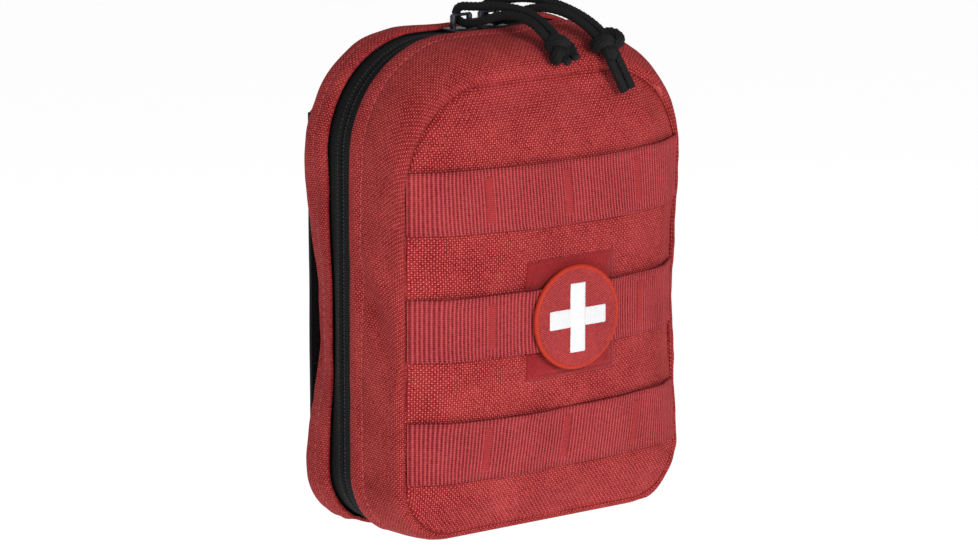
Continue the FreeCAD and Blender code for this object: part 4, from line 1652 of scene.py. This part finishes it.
def build_band(node):
    """Wide elastic that runs over the three rolls and is sewn down between them."""
    lowest, highest = corners(node)
    rolls = [(middle(roll), (high(roll).x - low(roll).x) / 2) for roll in ROLL_FINISHES]
    wall = low("back_lining").y - 0.7 * MM
    line = []
    steps = 600
    for step in range(steps + 1):
        x = lowest.x + (highest.x - lowest.x) * step / steps
        y = wall
        for centre, radius in rolls:
            over = (radius + 1.0 * MM) ** 2 - (x - centre.x) ** 2
            if over > 0:
                y = min(y, centre.y - math.sqrt(over))
        line.append(Vector((x, y, 0)))
    for _ in range(3):
        line = [line[0]] + [(a + b + c) / 3 for a, b, c in zip(line, line[1:], line[2:])] + [line[-1]]
    path, length = evenly(line, 0.0006)
    last = len(path) - 1
    tall = highest.z - lowest.z

    def place(s, t):
        index = min(last, round(s * last))
        along = heading(path, index)
        outside = Vector((along.y, -along.x, 0))
        rib = 0.12 * MM * math.cos(math.tau * t * 14)
        point = path[index] + outside * (0.15 * MM + rib)
        return Vector((point.x, max(point.y, lowest.y - 0.3 * MM), lowest.z + tall * t))

    piece = cloth_sheet(node + "_weave", last, 42, place, lambda s, t: (tall * t, length * s),
                        centre=Vector((0, 0.1, (lowest.z + highest.z) / 2)))
    thicken(piece, 0.8 * MM)
    elastic = black_cloth("ribbed elastic", fine_ribs, 0.0018, 0.0003, lift=1.8)
    return dressed(piece, "back_half", [elastic], [node])


PACKETS = {
    "glove_pack": ("cover", "packet_film", (0.42, 0.55, 0.68)),
    "wipe_pack": ("cover", "packet_green", (0.05, 0.32, 0.14)),
    "dressing_pack_large": ("back_half", "packet_paper", (0.80, 0.80, 0.76)),
    "dressing_pack_small": ("back_half", "packet_paper", (0.80, 0.80, 0.76)),
    "triangular_bandage_pack": ("back_half", "packet_film", (0.60, 0.62, 0.60)),
}


def build_packet(node):
    """A sealed packet: a soft pillow with flat crimped seals all round."""
    body, slot, colour = PACKETS[node]
    lowest, highest = corners(node)
    size = highest - lowest
    middle_y = (lowest.y + highest.y) / 2
    builder = bmesh.new()
    for sign in (-1, 1):
        def place(s, t, sign=sign):
            x, z = spot(lowest, highest, s, t)
            rim = rim_distance(lowest, highest, x, z)
            puff = clamp((rim - 0.004) / 0.010) ** 0.5
            crimp = 0.18 * MM * ribbed(z, 0.0012) * (0.0001 < rim < 0.004)
            crumple = 0.5 * MM * soft_noise((x, z, sign), 0.009, 95) * puff
            thick = (size.y / 2 - 0.5 * MM) * puff + 0.1 * MM * (rim > 0.0001)
            y = middle_y + crimp + sign * thick + crumple
            return Vector((x, min(max(y, lowest.y), highest.y), z))

        columns, rows = int(size.x / 0.0008), int(size.z / 0.0008)
        joined(builder, cloth_sheet("face", columns, rows, place, flat_map(size.x, size.z)))
    bmesh.ops.remove_doubles(builder, verts=builder.verts[:], dist=0.00002)
    bmesh.ops.recalc_face_normals(builder, faces=builder.faces[:])
    piece = make_object(node + "_sealed", builder)
    roughness = 0.35 if "film" in slot else 0.6
    finish = plastic_finish(slot.replace("_", " ") + " finish", colour, roughness, 0.2, 0.0002)
    return dressed(piece, body, [finish], [node])


# ---------------------------------------------------------------- operators

class PouchOperator(bpy.types.Operator):
    bl_options = {"REGISTER", "UNDO"}


class BuildShell(PouchOperator):
    """Build the cloth gussets and panels of both halves"""
    bl_idname = "pouch.build_shell"
    bl_label = "Cloth shell"

    def execute(self, context):
        for side in ("front", "back"):
            build_gusset(side)
            build_panel(side)
        return {"FINISHED"}


class BuildWebbing(PouchOperator):
    """Build the webbing rows, their bar tacks and the loop field"""
    bl_idname = "pouch.build_webbing"
    bl_label = "Webbing"

    def execute(self, context):
        for side in ("front", "back"):
            for row, name in enumerate(("bottom", "middle", "top")):
                build_webbing(side, row, name)
            build_tacks(side)
        build_loop_field()
        return {"FINISHED"}


class BuildPatch(PouchOperator):
    """Build the round patch with its overlocked border and satin cross"""
    bl_idname = "pouch.build_patch"
    bl_label = "Patch"

    def execute(self, context):
        build_patch()
        return {"FINISHED"}


class BuildZipper(PouchOperator):
    """Build the zipper's tapes, coils and sliders"""
    bl_idname = "pouch.build_zipper"
    bl_label = "Zipper"

    def execute(self, context):
        for side in ("front", "back"):
            build_zipper(side)
        for side in ("left", "right"):
            build_slider(side)
        return {"FINISHED"}


class BuildPulls(PouchOperator):
    """Build the braided cord pulls and their knots"""
    bl_idname = "pouch.build_pulls"
    bl_label = "Cord pulls"

    def execute(self, context):
        build_pull("left", 0.5)
        build_pull("right", -0.3)
        return {"FINISHED"}


class BuildBack(PouchOperator):
    """Build the back straps, their sewn roots and the cloth hinge"""
    bl_idname = "pouch.build_back"
    bl_label = "Back straps and hinge"

    def execute(self, context):
        for side in ("left", "right"):
            build_strap(side)
        build_strap_roots()
        build_hinge()
        return {"FINISHED"}


class BuildInside(PouchOperator):
    """Build the linings, pockets, elastic bands, rolls and packets"""
    bl_idname = "pouch.build_inside"
    bl_label = "Inside"

    def execute(self, context):
        for side in ("front", "back"):
            build_lining(side)
        build_stiffener()
        build_mesh_pocket()
        build_slip_pocket()
        for roll in ROLL_FINISHES:
            build_roll(roll)
        for band in ("elastic_band_lower", "elastic_band_upper"):
            build_band(band)
        for packet in PACKETS:
            build_packet(packet)
        return {"FINISHED"}


class BuildStage(PouchOperator):
    """Set up the pale floor, the soft lights and the camera"""
    bl_idname = "pouch.build_stage"
    bl_label = "Studio stage"

    def execute(self, context):
        build_stage()
        return {"FINISHED"}


class PouchPanel(bpy.types.Panel):
    bl_label = "First aid pouch"
    bl_idname = "VIEW3D_PT_first_aid_pouch"
    bl_space_type = "VIEW_3D"
    bl_region_type = "UI"
    bl_category = "First aid"

    def draw(self, context):
        for operator in OPERATORS:
            self.layout.operator(operator.bl_idname)
        for group in (context.scene.pouch_sizes, context.scene.pouch_colours):
            box = self.layout.box()
            for name in group.__annotations__:
                box.prop(group, name)


OPERATORS = (BuildStage, BuildPulls, BuildShell, BuildWebbing, BuildPatch, BuildZipper, BuildBack,
             BuildInside)
CLASSES = (PouchSizes, PouchColours, *OPERATORS, PouchPanel)


def register():
    for cls in CLASSES:
        bpy.utils.register_class(cls)
    bpy.types.Scene.pouch_sizes = bpy.props.PointerProperty(type=PouchSizes)
    bpy.types.Scene.pouch_colours = bpy.props.PointerProperty(type=PouchColours)


def unregister():
    del bpy.types.Scene.pouch_sizes
    del bpy.types.Scene.pouch_colours
    for cls in reversed(CLASSES):
        bpy.utils.unregister_class(cls)


# ---------------------------------------------------------------- stage

FLOOR_Z = -0.262           # clear of the cover when it hangs open below the base
CAMERA_TURN = math.radians(37.58)
CAMERA_RISE = math.radians(12.17)
CAMERA_DISTANCE = 2.21
CAMERA_TARGET = Vector((-0.0010, 0.0089, 0.0997))
CAMERA_LENS = 198.5
WHITE = (1.0, 1.0, 1.0, 1.0)
FLOOR_GLOW = 0.66
WORLD_GLOW = 0.34


def from_camera_side(turn, rise):
    return Vector((-math.sin(turn) * math.cos(rise), -math.cos(turn) * math.cos(rise), math.sin(rise)))


def aimed(thing, at, target):
    thing.location = at
    thing.rotation_euler = (target - at).to_track_quat("-Z", "Y").to_euler()
    bpy.context.scene.collection.objects.link(thing)
    return thing


def soft_light(name, turn, rise, distance, size, power):
    light = bpy.data.lights.new(name, "AREA")
    light.shape = "RECTANGLE"
    light.size = size[0]
    light.size_y = size[1]
    light.energy = power
    at = CAMERA_TARGET + from_camera_side(math.radians(turn), math.radians(rise)) * distance
    aimed(bpy.data.objects.new(name, light), at, CAMERA_TARGET)


def build_stage():
    builder = bmesh.new()
    bmesh.ops.create_grid(builder, x_segments=8, y_segments=8, size=6.0)
    bmesh.ops.translate(builder, verts=builder.verts[:], vec=(0, 0, FLOOR_Z))
    floor = make_object("studio_floor", builder)
    pale = Finish("pale floor", 0.9)
    pale.colour(pale.mix(pale.noise(0.8), (0.86, 0.86, 0.86), (0.90, 0.90, 0.90)))
    pale.shader.inputs["Emission Color"].default_value = WHITE
    pale.shader.inputs["Emission Strength"].default_value = FLOOR_GLOW
    floor.data.materials.append(pale.material)
    world = bpy.data.worlds.new("studio")
    world.use_nodes = True
    sky = world.node_tree.nodes["Background"]
    sky.inputs[0].default_value = WHITE
    sky.inputs[1].default_value = WORLD_GLOW
    bpy.context.scene.world = world
    bpy.context.scene.view_settings.view_transform = "Standard"
    soft_light("key_light", 2, 22, 1.5, (0.6, 0.6), 15.5)
    soft_light("left_light", 70, 12, 1.6, (0.5, 0.8), 6)
    camera = bpy.data.cameras.new("camera")
    camera.lens = CAMERA_LENS
    camera.sensor_width = 36.0
    camera.clip_end = 50.0
    at = CAMERA_TARGET + from_camera_side(CAMERA_TURN, CAMERA_RISE) * CAMERA_DISTANCE
    bpy.context.scene.camera = aimed(bpy.data.objects.new("camera", camera), at, CAMERA_TARGET)


def main():
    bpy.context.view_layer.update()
    register()
    for operator in OPERATORS:
        group, name = operator.bl_idname.split(".")
        getattr(getattr(bpy.ops, group), name)()


if __name__ == "__main__":
    main()
